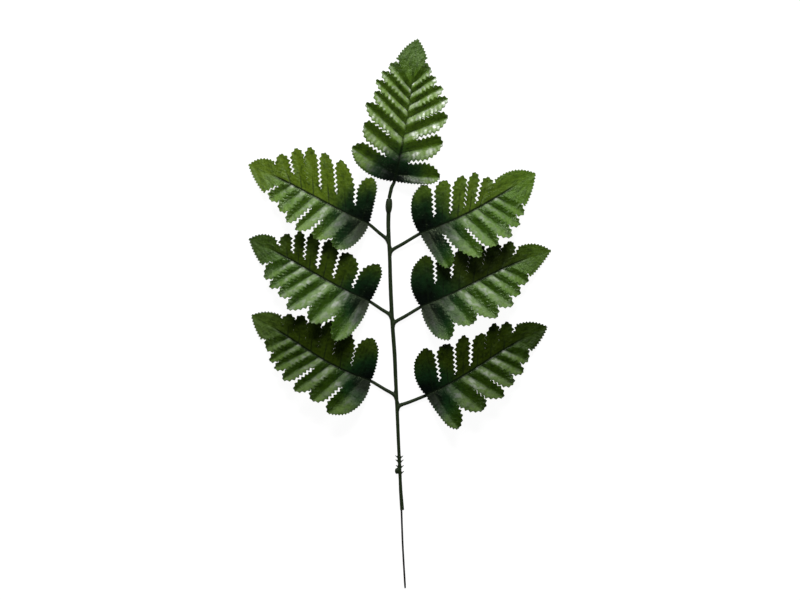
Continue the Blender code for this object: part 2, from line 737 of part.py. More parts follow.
def build_stem(material):
    meshes = [trunk_mesh("trunk"), knuckle_mesh("knuckle")]
    for name, root_y in BRANCH_ROOTS.items():
        meshes.append(branch_mesh("branch_" + name, LEAVES[name], root_y))
    for k, (root_y, side) in enumerate(BARBS):
        meshes.append(barb_mesh(f"barb_{k}", root_y, side))
    meshes.append(knob_mesh("knob"))
    stem = joined("stem", meshes, material)
    bore = []
    for x, y in trunk_line(BORE_TOP_Y, STEM_END_Y - CUTTER_OVERRUN, TRUNK_STEP):
        bore.append((x, y, stem_height(y)))
    bore_mesh = tube_mesh("bore", bore, [WIRE_RADIUS + FIT_GAP] * len(bore), WIRE_SIDES, 0.5)
    top_y = KNUCKLE_CENTRE_Y + 0.5 * KNUCKLE_LENGTH
    socket = [
        (smooth_stem_x(y), y, flat_foot_height(KNUCKLE_RADIUS))
        for y in (top_y + CUTTER_OVERRUN, top_y - SOCKET_DEPTH)
    ]
    socket_radius = TWIG_PLUG_RADIUS + FIT_GAP
    socket_mesh = tube_mesh("socket", socket, [socket_radius] * 2, BRANCH_SIDES)
    cut_away(stem, [bore_mesh, socket_mesh])
    return stem


def build_twig(material):
    """The twig that plugs into the knuckle and runs on under the top leaf."""
    leaf = LEAVES["leaf_top"]
    spine, spine_radii = carried_line(leaf)
    height = flat_foot_height(KNUCKLE_RADIUS)
    top_y = KNUCKLE_CENTRE_Y + 0.5 * KNUCKLE_LENGTH
    plug_y = top_y - SOCKET_DEPTH + FIT_GAP
    shoulder_y = top_y + FIT_GAP
    lead = [
        (smooth_stem_x(plug_y), plug_y, height),
        (smooth_stem_x(top_y), shoulder_y, height),
        (smooth_stem_x(top_y), shoulder_y + TWIG_STEP, height),
    ]
    for aside, ahead, rise in TWIG_BENDS:
        lead.append((smooth_stem_x(top_y) + aside, shoulder_y + ahead, height + rise))
    radii = [TWIG_PLUG_RADIUS] * 2 + [TWIG_RADIUS] * (1 + len(TWIG_BENDS)) + spine_radii
    mesh = tube_mesh("top_twig", [*lead, *spine], radii, BRANCH_SIDES)
    return new_object("top_twig", mesh, material)


def build_wire(material):
    """The steel core, from inside the stem's top to the end of the bare tail."""
    line = []
    for x, y in trunk_line(WIRE_TOP_Y, STEM_LINE[-1][1], TRUNK_STEP):
        sink = max(0.0, (STEM_END_Y - y) / (STEM_END_Y - STEM_LINE[-1][1]))
        high = stem_height(y)
        line.append((x, y, high + (WIRE_RADIUS + TAIL_CLEARANCE - high) * sink))
    mesh = tube_mesh("wire", line, [WIRE_RADIUS] * len(line), WIRE_SIDES, 0.5)
    return new_object("wire", mesh, material)


def main():
    clear_scene()
    plastic = principled("green plastic", (0.030, 0.055, 0.022), 0.45)
    steel = principled("dark steel wire", (0.030, 0.032, 0.026), 0.50, 0.6)
    build_stem(plastic)
    build_twig(plastic)
    build_wire(steel)
    for name, leaf in LEAVES.items():
        fabric = principled(name + " fabric", (0.045, 0.105, 0.014), 0.55)
        build_leaf(name, leaf, fabric)
    for mesh in list(bpy.data.meshes):
        if mesh.users == 0:
            bpy.data.meshes.remove(mesh)


main()
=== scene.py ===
# %% [markdown]
# # An artificial leatherleaf fern spray, lying on a white table
#
# The real object is a florist's stem: seven flat leaves of printed satin are pressed on to
# moulded green plastic stems, and a steel wire runs through the main one. This lesson dresses the
# measured model of it. Every shape is a formula on a grid of numbers, and every finish is worked
# out by shader nodes.

# %% Load the measured model
from collections import namedtuple

import bmesh
import bpy
import numpy as np
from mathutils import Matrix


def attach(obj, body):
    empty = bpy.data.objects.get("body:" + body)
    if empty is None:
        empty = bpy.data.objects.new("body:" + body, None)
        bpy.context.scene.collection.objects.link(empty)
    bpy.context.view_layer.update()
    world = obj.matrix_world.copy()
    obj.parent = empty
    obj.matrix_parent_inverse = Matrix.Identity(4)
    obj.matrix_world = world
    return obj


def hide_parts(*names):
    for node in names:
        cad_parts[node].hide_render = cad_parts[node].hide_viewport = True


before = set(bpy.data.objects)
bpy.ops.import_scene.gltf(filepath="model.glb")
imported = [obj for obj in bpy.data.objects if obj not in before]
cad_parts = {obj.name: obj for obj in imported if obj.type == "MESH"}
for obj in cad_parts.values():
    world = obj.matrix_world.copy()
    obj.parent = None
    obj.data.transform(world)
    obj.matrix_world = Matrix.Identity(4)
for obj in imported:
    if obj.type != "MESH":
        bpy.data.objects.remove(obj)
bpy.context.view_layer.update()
print("solids:", ", ".join(sorted(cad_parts)))

MM = 0.001

# %% [markdown]
# ## The plan of a leaf
#
# A fern leaf of this kind is a feather: a midrib, veins that leave it on both sides, and a lobe
# round each vein. Slits between the lobes stop short of the midrib, and the leaf's end stays
# uncut. Each half is described by a few fractions of the leaf's length, the same ones as in the
# measured model, so that the fabric lies exactly where the solid is.

# %% What describes a leaf
# roots: where each vein leaves the midrib. tips: each lobe's tip, along and across.
# shoulder: where the uncut end starts. bulge: how far its margin is rounded.
# ends: how far from the midrib each slit stops. gaps: each slit's width in mm.
# slope: how steeply the half rises from the midrib. swell: bulge of the first lobe's margin.
# fold: how deep in mm each lobe's V is.
Half = namedtuple("Half", "roots tips shoulder bulge ends gaps slope swell fold")

# base in mm, length in mm, heading in degrees, the midrib's two bends in mm, and its height's
# base, arch and the arch's highest place
Leaf = namedtuple("Leaf", "base length heading bow sway base_z arch peak left right")

LEAVES = {
    "leaf_left_1": Leaf(
        (-25.4, 73.8), 112.0, 153.7, -0.7, 0.6, 7.4, 6.5, 0.45,
        Half(
            (0.06, 0.215, 0.35, 0.46, 0.56, 0.65),
            ((0.139, 0.271), (0.300, 0.273), (0.460, 0.279), (0.551, 0.258), (0.637, 0.205),
             (0.734, 0.165)),
            (0.800, 0.140), 0.012,
            (0.11, 0.12, 0.081, 0.07, 0.06, 0.05), (0.7, 1.8, 1.8, 0.6, 0.6, 1.6),
            0.36, 0.032, 2.0,
        ),
        Half(
            (0.06, 0.19, 0.33, 0.46, 0.56, 0.65),
            ((0.127, 0.317), (0.386, 0.333), (0.525, 0.331), (0.642, 0.321), (0.733, 0.265),
             (0.826, 0.166)),
            (0.850, 0.104), 0.030,
            (0.079, 0.090, 0.070, 0.061, 0.075, 0.076), (2.2, 1.5, 1.6, 0.8, 1.6, 0.6),
            0.04, 0.005, 0.9,
        ),
    ),
    "leaf_left_2": Leaf(
        (-24.7, 9.6), 113.5, 152.6, 0.1, 0.7, 5.6, 5.0, 0.45,
        Half(
            (0.06, 0.215, 0.35, 0.46, 0.56, 0.65),
            ((0.102, 0.369), (0.313, 0.331), (0.509, 0.323), (0.606, 0.262), (0.697, 0.244),
             (0.768, 0.200)),
            (0.827, 0.127), 0.010,
            (0.10, 0.09, 0.08, 0.07, 0.06, 0.07), (0.7, 0.7, 0.7, 0.7, 0.6, 1.2),
            0.36, 0.034, 2.0,
        ),
        Half(
            (0.08, 0.24, 0.385, 0.50, 0.595, 0.685),
            ((0.069, 0.273), (0.288, 0.244), (0.450, 0.275), (0.600, 0.250), (0.690, 0.222),
             (0.775, 0.155)),
            (0.820, 0.094), 0.030,
            (0.035, 0.035, 0.040, 0.050, 0.051, 0.052), (1.8, 1.8, 2.6, 1.4, 1.8, 2.2),
            0.10, 0.010, 0.9,
        ),
    ),
    "leaf_left_3": Leaf(
        (-23.9, -56.4), 113.7, 151.2, 2.7, 1.3, 4.5, 4.0, 0.45,
        Half(
            (0.06, 0.20, 0.32, 0.42, 0.51, 0.60, 0.68),
            ((0.159, 0.348), (0.305, 0.324), (0.450, 0.327), (0.568, 0.292), (0.660, 0.253),
             (0.717, 0.224), (0.784, 0.156)),
            (0.849, 0.118), 0.010,
            (0.12, 0.10, 0.09, 0.08, 0.07, 0.06, 0.05), (1.8, 0.6, 2.0, 0.6, 0.6, 0.6, 0.5),
            0.34, 0.070, 2.0,
        ),
        Half(
            (0.09, 0.245, 0.38, 0.49, 0.595, 0.69),
            ((0.141, 0.283), (0.350, 0.255), (0.460, 0.255), (0.580, 0.205), (0.675, 0.185),
             (0.760, 0.145)),
            (0.805, 0.108), 0.025,
            (0.045, 0.04, 0.035, 0.035, 0.04, 0.05), (1.0, 0.8, 0.7, 0.7, 0.6, 0.6),
            0.12, 0.020, 0.9,
        ),
    ),
    "leaf_right_1": Leaf(
        (16.5, 66.0), 108.9, 27.6, -3.4, -0.4, 7.4, 6.5, 0.45,
        Half(
            (0.06, 0.18, 0.31, 0.41, 0.50),
            ((0.192, 0.319), (0.346, 0.279), (0.485, 0.247), (0.592, 0.227), (0.665, 0.150)),
            (0.703, 0.112), 0.048,
            (0.074, 0.051, 0.040, 0.032, 0.026), (2.0, 1.6, 1.1, 1.8, 0.8),
            0.04, 0.055, 0.9,
        ),
        Half(
            (0.06, 0.23, 0.37, 0.475, 0.565, 0.65),
            ((0.075, 0.332), (0.320, 0.370), (0.470, 0.350), (0.602, 0.344), (0.703, 0.293),
             (0.774, 0.226)),
            (0.815, 0.178), 0.012,
            (0.067, 0.10, 0.08, 0.07, 0.06, 0.05), (1.8, 1.7, 0.7, 0.6, 0.6, 0.5),
            0.34, 0.005, 2.0,
        ),
    ),
    "leaf_right_2": Leaf(
        (17.5, 5.3), 118.1, 23.4, 1.4, -1.0, 5.6, 5.0, 0.45,
        Half(
            (0.06, 0.17, 0.29, 0.40, 0.51, 0.62),
            ((0.172, 0.320), (0.300, 0.290), (0.430, 0.270), (0.550, 0.240), (0.660, 0.200),
             (0.765, 0.165)),
            (0.800, 0.108), 0.030,
            (0.11, 0.10, 0.068, 0.070, 0.06, 0.06), (1.8, 1.7, 0.8, 0.8, 0.6, 1.5),
            0.10, 0.065, 0.9,
        ),
        Half(
            (0.06, 0.20, 0.33, 0.45, 0.55, 0.64),
            ((0.091, 0.288), (0.276, 0.250), (0.450, 0.279), (0.592, 0.248), (0.670, 0.200),
             (0.758, 0.145)),
            (0.800, 0.118), 0.008,
            (0.12, 0.12, 0.10, 0.09, 0.08, 0.06), (0.8, 0.9, 0.7, 0.7, 0.6, 0.5),
            0.36, 0.035, 2.0,
        ),
    ),
    "leaf_right_3": Leaf(
        (21.6, -68.3), 116.4, 29.4, 0.2, -1.25, 4.5, 4.0, 0.45,
        Half(
            (0.06, 0.18, 0.30, 0.42, 0.53, 0.64),
            ((0.157, 0.298), (0.295, 0.256), (0.446, 0.243), (0.545, 0.190), (0.672, 0.209),
             (0.765, 0.168)),
            (0.805, 0.118), 0.025,
            (0.045, 0.035, 0.035, 0.06, 0.06, 0.074), (1.6, 1.5, 2.2, 0.7, 0.6, 1.6),
            0.16, 0.055, 0.9,
        ),
        Half(
            (0.06, 0.20, 0.33, 0.45, 0.56, 0.65),
            ((0.088, 0.314), (0.305, 0.285), (0.475, 0.275), (0.580, 0.235), (0.687, 0.199),
             (0.758, 0.145)),
            (0.825, 0.100), 0.010,
            (0.12, 0.12, 0.12, 0.10, 0.09, 0.07), (0.8, 1.0, 1.1, 0.8, 0.6, 0.5),
            0.32, 0.010, 2.0,
        ),
    ),
    "leaf_top": Leaf(
        (-4.5, 109.5), 120.6, 80.73, -2.0, -0.3, 6.8, 6.0, 0.42,
        Half(
            (0.05, 0.18, 0.30, 0.40, 0.49, 0.57, 0.64),
            ((0.180, 0.322), (0.341, 0.269), (0.491, 0.279), (0.580, 0.234), (0.661, 0.238),
             (0.730, 0.207), (0.793, 0.163)),
            (0.842, 0.122), 0.015,
            (0.086, 0.08, 0.08, 0.08, 0.07, 0.07, 0.06), (1.8, 1.3, 0.7, 0.7, 0.6, 0.6, 0.6),
            0.18, 0.050, 2.6,
        ),
        Half(
            (0.05, 0.20, 0.33, 0.44, 0.53, 0.61, 0.68),
            ((0.075, 0.304), (0.305, 0.283), (0.486, 0.291), (0.619, 0.270), (0.687, 0.220),
             (0.752, 0.163), (0.805, 0.118)),
            (0.875, 0.081), 0.008,
            (0.065, 0.09, 0.09, 0.08, 0.07, 0.06, 0.05), (2.2, 2.2, 1.0, 0.7, 0.6, 0.6, 0.5),
            0.18, 0.010, 2.6,
        ),
    ),
}
lobes = sum(len(half.roots) for leaf in LEAVES.values() for half in (leaf.left, leaf.right))
print(len(LEAVES), "leaves,", lobes, "lobes")

# %% [markdown]
# ## Lines of the plan, as whole arrays
#
# A vein is a straight line with a parameter t from 0 on the midrib to 1 at the lobe's tip. A slit
# lies midway between two veins. With one array of t for all of them, two neighbouring lobes get
# the very same points where the fabric between them is uncut, so the grids can be sewn together.

# %% Veins and slits
FIRST_LOBE_SPREAD = 0.045
ROUNDING_START = 0.74
ROUNDING_POWER = 0.55
LOBE_HALF_WIDTH = 0.064
LOBE_TAPER = 0.07
SLIT_OPENING = 0.08
VISIBLE_GAP = ((0.7, 0.05), (0.9, 0.12), (1.2, 0.9), (1.5, 1.5), (4.0, 4.0))
MIDRIB_SHARE = 0.07
MIDRIB_ROWS = 9
LOBE_ROWS = 34
TIP_ROWS = 30

# Rows along a vein: close together beside the midrib, even along the lobe, and then by the sine
# of an even angle, so that they go evenly round the tip.
T = np.concatenate((
    np.linspace(0.0, MIDRIB_SHARE, MIDRIB_ROWS, endpoint=False),
    np.linspace(MIDRIB_SHARE, ROUNDING_START, LOBE_ROWS, endpoint=False),
    ROUNDING_START + (1.0 - ROUNDING_START) * np.sin(np.linspace(0.0, np.pi / 2, TIP_ROWS + 1)),
))


def unit(vectors):
    """Each vector divided by its own length."""
    return vectors / np.linalg.norm(vectors, axis=-1, keepdims=True)


def turned_left(vectors):
    """(x, y) turned by a right angle is (-y, x)."""
    return np.stack((-vectors[..., 1], vectors[..., 0]), axis=-1)


def straight(start, finish, t):
    """start + t (finish - start)"""
    start, finish = np.array(start), np.array(finish)
    return start + t[:, None] * (finish - start)


def vein(half, lobe, t=T):
    """Straight from the vein's root on the midrib to the lobe's tip."""
    return straight((half.roots[lobe], 0.0), half.tips[lobe], t)


def slit(half, number, t=T):
    """Half the sum of the two veins beside it. The first and last ones have only one."""
    count = len(half.roots)
    if number == 0:
        tip = np.array(half.tips[0])
        outward = turned_left(unit(tip - np.array((half.roots[0], 0.0))))
        bulge = half.swell * 4.0 * t * (1.0 - t)
        return t[:, None] * (tip + FIRST_LOBE_SPREAD * outward) + bulge[:, None] * outward
    if number == count:
        root = half.roots[-1] + 0.5 * (half.roots[-1] - half.roots[-2])
        return straight((root, 0.0), half.shoulder, t)
    return 0.5 * (vein(half, number - 1, t) + vein(half, number, t))


def slit_stop(half, number):
    """The t at which a slit's cut ends, next to the midrib."""
    return half.ends[number - 1] / slit(half, number, np.ones(1))[0, 1] if number else 0.0


def closing(t):
    """(1 - s^2)^power, where s goes from 0 to 1 over the lobe's rounded tip."""
    s = np.clip((t - ROUNDING_START) / (1.0 - ROUNDING_START), 0.0, 1.0)
    return (1.0 - s ** 2) ** ROUNDING_POWER


def opening(half, number, length, t=T):
    """Half of a slit's width, which opens over a short way from the slit's stop.

    The measured gaps are wide enough for solids, so the narrow ones are closed up here.
    """
    if number == 0:
        return np.zeros_like(t)
    share = np.clip((t - slit_stop(half, number)) / SLIT_OPENING, 0.0, 1.0)
    return 0.5 * np.interp(half.gaps[number - 1], *np.transpose(VISIBLE_GAP)) / length * share


def smooth_margin(half, lobe, hand, length):
    """vein + (slit - vein) * kept width / full width * closing(t)"""
    number = lobe if hand < 0 else lobe + 1
    middle = vein(half, lobe)
    offset = slit(half, number) - middle
    width = np.linalg.norm(offset, axis=1)
    kept = width - opening(half, number, length)
    if number > 0:
        limit = LOBE_HALF_WIDTH + LOBE_TAPER * (1.0 - T)
        kept = np.where(T > slit_stop(half, number), np.minimum(kept, limit), kept)
    return middle + offset * (kept / width * closing(T))[:, None]


print(len(T), "rows along each lobe")

# %% [markdown]
# ## Teeth
#
# The fabric is stamped with a zigzag die. In a slit both margins zigzag in step, because one cut
# made them both. A triangle wave of the distance along the slit pushes the margin to its left and
# right. Round the tips the teeth are coarser and shallower, and along the outer margins they are
# fine and lean forward.

# %% The tooth wave
# Each kind of tooth as (pitch, depth) in mm. A lean is where along a wave its peak lies.
SLIT_TOOTH = (3.8, 2.3)
MARGIN_TOOTH = (2.7, 1.4)
TIP_TOOTH = (4.3, 1.5)
EVEN_LEAN = 0.5
MARGIN_LEAN = 0.60
END_TEETH_LEAN = 0.58
TIP_TEETH_FULL = 0.86
TEETH_FADE_IN = 0.03
TEETH_FADE_OUT = 0.004
END_TEETH_FADE_OUT = 0.02


def distance_along(points, length):
    """Running sum of the steps between a line's points, in mm."""
    steps = np.linalg.norm(np.diff(points, axis=0), axis=1) * length
    return np.concatenate(((0.0,), np.cumsum(steps)))


def tooth_wave(phase, lean):
    """A triangle wave from -1 to 1 that starts at 0 and has its peak at lean."""
    turn = np.mod(phase + 0.5 * lean, 1.0)
    return np.interp(turn, (0.0, lean, 1.0), (-1.0, 1.0, -1.0))


def pushed(margin, phase, depth, lean, fade):
    """The push on a margin: its left normal times half the tooth's depth times the wave."""
    normal = turned_left(unit(np.gradient(margin, axis=0)))
    return normal * (0.5 * depth * tooth_wave(phase, lean) * fade)[:, None]


def lobe_teeth(half, lobe, hand, margin, length):
    """(phase, push) of a lobe's margin: the slit's own distance first, then the margin's."""
    number = lobe if hand < 0 else lobe + 1
    outer = number == 0
    pitch, depth = MARGIN_TOOTH if outer else SLIT_TOOTH
    stop = slit_stop(half, number)
    along_slit = distance_along(margin if outer else slit(half, number), length)
    along_tip = distance_along(margin, length)
    rate = np.where(T[1:] <= ROUNDING_START, np.diff(along_slit) / pitch,
                    np.diff(along_tip) / (pitch if outer else TIP_TOOTH[0]))
    phase = np.concatenate(((0.0,), np.cumsum(rate)))
    phase = phase - np.interp(stop, T, phase)
    depths = np.interp(T, (ROUNDING_START, TIP_TEETH_FULL), (depth, TIP_TOOTH[1]))
    fade_in = np.clip((T - stop) / TEETH_FADE_IN, 0.0, 1.0)
    fade_out = np.clip((1.0 - T) / TEETH_FADE_OUT, 0.0, 1.0)
    lean = MARGIN_LEAN if outer else EVEN_LEAN
    return phase, pushed(margin, phase, depths / length, lean, fade_in * fade_out)


# %% [markdown]
# ## The leaf's surface
#
# The press leaves a leaf arched along its midrib, with each half rising away from it and each
# lobe folded into a shallow V along its vein. Fine ridges run from the vein into the teeth. The
# height of the fabric is the sum of these, each one a formula of the same parameters.

# %% Heights
TIP_Z = 0.45
VALLEY_SHARE = 0.35
VALLEY_ROUNDING = 0.004
VALLEY_LIFT = 0.03
PLEAT_START = 0.22
PLEAT_FADE = 0.55
END_PLEAT_FADE = 1.2
FLATTENING_START = 0.58
FLATTENING_LENGTH = 0.35
FLATTENING = 0.80
RIDGE = 0.11
RIDGE_SLANT = 0.9
RIDGE_POWER = 0.8
GROOVE = 0.32
GROOVE_WIDTH = 0.8
VEIN_GROOVE = 0.14
VEIN_GROOVE_WIDTH = 0.7
VEIN_END = 0.62
VEIN_FADE = 0.3
MIDRIB_END = 0.86
MIDRIB_FADE = 0.2
BOW_REACH = 0.30
END_RIPPLES = 3.0
END_RIPPLE = 0.30
CRUMPLES = ((23.0, 0.12), (15.0, 0.10), (9.0, 0.10), (6.0, 0.06), (4.1, 0.03))


def leaf_height(leaf, slope, u, v):
    """base (1 - u) + tip u + arch sin(pi u^p) + slope v, in mm; p puts the arch's top at peak.

    The slope gets gentler towards the tip, where the leaf is pressed flat.
    """
    along = np.clip(u, 0.0, 1.0)
    power = np.log(0.5) / np.log(leaf.peak)
    arch = leaf.arch * np.sin(np.pi * along ** power)
    level = np.clip((u - FLATTENING_START) / FLATTENING_LENGTH, 0.0, 1.0)
    rise = slope * v * leaf.length * (1.0 - FLATTENING * level)
    return leaf.base_z * (1.0 - along) + TIP_Z * along + arch + rise


def pleat(half, t, across):
    """fold (across - valley share) min(1, t / start) (1 - fade t^2), in mm"""
    rounded = np.sqrt(across ** 2 + VALLEY_ROUNDING) - VALLEY_LIFT
    rise = np.minimum(1.0, t / PLEAT_START) * (1.0 - PLEAT_FADE * t * t)
    return half.fold * (rounded - VALLEY_SHARE) * rise


def ridges(phase, across, t):
    """Ridge height sin(2 pi (phase + slant (1 - across))) across^power, from vein to tooth"""
    wave = np.sin(2.0 * np.pi * (phase + RIDGE_SLANT * (1.0 - across)))
    return RIDGE * wave * across ** RIDGE_POWER * np.minimum(1.0, t / PLEAT_START)


def crumple(x, y, seed):
    """A sum of five slow sines of the place in mm: the fabric isn't quite smooth."""
    rng = np.random.default_rng(seed)
    total = np.zeros_like(x)
    for wave_length, height in CRUMPLES:
        angle, shift = rng.uniform(0.0, 2.0 * np.pi, 2)
        along = x * np.cos(angle) + y * np.sin(angle)
        total += height * np.sin(2.0 * np.pi * along / wave_length + shift)
    return total


def groove(distance, width, depth):
    """-depth (1 - (distance / width)^2)^2 within the width, and 0 outside it"""
    return -depth * np.clip(1.0 - (distance / width) ** 2, 0.0, 1.0) ** 2


def place(leaf, hand, u, v):
    """Turns (along, across) into (x, y) in mm: a rotation, and a bend that fades with v."""
    heading = np.radians(leaf.heading)
    bend = leaf.bow * np.sin(np.pi * u) + leaf.sway * np.sin(2.0 * np.pi * u)
    across = hand * v * leaf.length + bend * np.maximum(0.0, 1.0 - v / BOW_REACH)
    x = leaf.base[0] + u * leaf.length * np.cos(heading) - across * np.sin(heading)
    y = leaf.base[1] + u * leaf.length * np.sin(heading) + across * np.cos(heading)
    return x, y


# %% [markdown]
# ## Grids for the lobes and for the leaf's end
#
# One lobe is a grid: rows run along its vein and columns across it. The uncut end is a second
# kind of grid, ruled from the midrib to the margin. Each point also carries what the paint will
# need later: how far it is from the leaf's base, from the midrib and from its vein, on which
# flank of its pleat it lies, and whether its half of the leaf rises steeply.

# %% Two kinds of grid
FLANK_COLUMNS = 8
END_ROWS = 46
END_COLUMNS = 16
FLAT_FOLD = 1.2
STEEP_SLOPE = 0.25
FAR_FROM_VEIN = 4.0
ACROSS_WEIGHT = 1.1
SHOULDER_SHARE = 0.30
END_TEETH_CHANGE = (0.9, 1.1)
FACTS = ("along_leaf", "from_base", "from_midrib", "from_vein", "along_lobe", "flank", "steep")
COLUMN_CROWDING = 1.15
EVEN = np.linspace(-1, 1, 2 * FLANK_COLUMNS + 1)
A = np.sign(EVEN) * np.abs(EVEN) ** COLUMN_CROWDING


def surface(leaf, half, hand, plan, lift, facts):
    """Places a grid's plan, adds up its heights, and lists its points with their facts."""
    u, v = plan[..., 0], plan[..., 1]
    x, y = place(leaf, hand, u, v)
    from_midrib = v * leaf.length
    along = np.clip((MIDRIB_END - u) / MIDRIB_FADE, 0.0, 1.0)
    z = leaf_height(leaf, half.slope, u, v) + lift + crumple(x, y, int(leaf.length * 10))
    z = z + groove(from_midrib, GROOVE_WIDTH, GROOVE) * along
    facts["along_leaf"] = u
    facts["from_base"] = np.sqrt(u ** 2 + (ACROSS_WEIGHT * v) ** 2)
    facts["from_midrib"] = from_midrib
    facts["steep"] = float(half.slope > STEEP_SLOPE)
    points = np.stack((x, y, z), axis=-1) * MM
    columns = [np.broadcast_to(facts[name], u.shape).ravel() for name in FACTS]
    return points.reshape(-1, 3), np.stack(columns, axis=-1), u.shape


def lobe_grid(leaf, half, hand, lobe):
    """vein + |a| (margin - vein) + |a|^3 push, for a from -1 to 1 across the lobe"""
    middle = vein(half, lobe)
    plan = np.zeros((len(T), len(A), 2))
    lift = np.zeros((len(T), len(A)))
    from_vein = np.zeros((len(T), len(A)))
    for edge in (-1, 1):
        columns = A < 0 if edge < 0 else A >= 0
        a = np.abs(A[columns])[None, :]
        margin = smooth_margin(half, lobe, edge, leaf.length)
        phase, push = lobe_teeth(half, lobe, edge, margin, leaf.length)
        reach = margin - middle
        plan[:, columns] = (middle[:, None] + a[..., None] * reach[:, None]
                            + a[..., None] ** 3 * push[:, None])
        height = pleat(half, T[:, None], a * closing(T)[:, None])
        lift[:, columns] = height + ridges(phase[:, None], a, T[:, None])
        from_vein[:, columns] = a * np.linalg.norm(reach, axis=1)[:, None] * leaf.length
    fade = np.clip((VEIN_END - T) / VEIN_FADE, 0.0, 1.0)[:, None]
    lift = lift + groove(from_vein, VEIN_GROOVE_WIDTH, VEIN_GROOVE) * fade
    flank = np.sin(np.pi * A)[None, :] * float(half.fold > FLAT_FOLD)
    facts = {"from_vein": from_vein, "along_lobe": T[:, None], "flank": flank}
    return surface(leaf, half, hand, plan, lift, facts)


def end_grid(leaf, half, hand):
    """Ruled from the midrib to the margin: (1 - b) midrib(k) + b margin(k) + b^3 push(k)"""
    count = len(half.roots)
    along_slit = slit(half, count)
    along_slit[:, 0] += opening(half, count, leaf.length)
    shoulder = along_slit[-1]
    chord = np.array((1.0, 0.0)) - shoulder
    outward = turned_left(unit(chord))
    control = shoulder + 0.5 * chord + 2.0 * half.bulge * outward
    k = np.linspace(0.0, 1.0, END_ROWS + 1)[1:, None]
    rounded = (1 - k) ** 2 * shoulder + 2 * k * (1 - k) * control + k ** 2 * np.array((1.0, 0.0))
    margin = np.concatenate((along_slit, rounded))
    row = np.concatenate((T, 1.0 + k[:, 0]))
    stop = slit_stop(half, count)
    pitches = np.where(row[1:] <= 1.0, SLIT_TOOTH[0], MARGIN_TOOTH[0])
    steps = np.diff(distance_along(margin, leaf.length))
    phase = np.concatenate(((0.0,), np.cumsum(steps / pitches)))
    phase = phase - np.interp(stop, row, phase)
    inner = distance_along(slit(half, count), leaf.length) / SLIT_TOOTH[0]
    uncut = row <= stop
    phase[uncut] = (inner - np.interp(stop, T, inner))[: uncut.sum()]
    depths = (SLIT_TOOTH[1], MARGIN_TOOTH[1])
    depth = np.interp(row, END_TEETH_CHANGE, depths) / leaf.length
    fade_in = np.clip((row - stop) / TEETH_FADE_IN, 0.0, 1.0)
    fade_out = np.clip((2.0 - row) / END_TEETH_FADE_OUT, 0.0, 1.0)
    push = pushed(margin, phase, depth, END_TEETH_LEAN, fade_in * fade_out)
    start = margin[0, 0]
    share = np.interp(row, (0.0, 1.0, 2.0), (0.0, SHOULDER_SHARE, 1.0))
    midrib = np.stack((start + (1.0 - start) * share, np.zeros_like(share)), axis=-1)
    b = np.linspace(0.0, 1.0, END_COLUMNS + 1)[None, :]
    plan = ((1 - b[..., None]) * midrib[:, None] + b[..., None] * margin[:, None]
            + b[..., None] ** 3 * push[:, None])
    t = np.minimum(row, 1.0)[:, None]
    fading = np.clip((2.0 - row) / END_PLEAT_FADE, 0.0, 1.0)[:, None]
    lift = b * pleat(half, t, 1.0) * fading + ridges(phase[:, None], b, t) * fading
    wave = np.sin(2.0 * np.pi * END_RIPPLES * share)[:, None]
    ripple = END_RIPPLE * wave * b * (1.0 - b ** 3) * fading
    facts = {"from_vein": FAR_FROM_VEIN, "along_lobe": b * t, "flank": 0.0}
    return surface(leaf, half, hand, plan, lift + ripple, facts)


# %% [markdown]
# ## Sewing the grids into fabric
#
# The grids of one leaf are put into one mesh, points that coincide are merged, and Solidify turns
# the sheet into cloth with a real thickness and a closed rim. The rim is marked sharp, so that the
# cut edge doesn't round off in the light.

# %% From grids to a leaf
FABRIC_THICKNESS = 0.36
RIM_ANGLE = 55.0


def grid_faces(shape, first):
    """The four corners of each cell of a grid whose points start at number first."""
    number = first + np.arange(shape[0] * shape[1]).reshape(shape)
    return np.stack((number[:-1, :-1], number[1:, :-1], number[1:, 1:], number[:-1, 1:]),
                    axis=-1).reshape(-1, 4)


def applied(thing):
    """Replaces an object's mesh by the one that its modifiers make."""
    graph = bpy.context.evaluated_depsgraph_get()
    mesh = bpy.data.meshes.new_from_object(thing.evaluated_get(graph))
    thing.modifiers.clear()
    thing.data = mesh
    return thing


def new_piece(name, points, faces):
    """A mesh object at the origin; its place is in its mesh."""
    mesh = bpy.data.meshes.new(name)
    mesh.from_pydata(points, [], faces)
    piece = bpy.data.objects.new(name, mesh)
    bpy.context.scene.collection.objects.link(piece)
    return piece


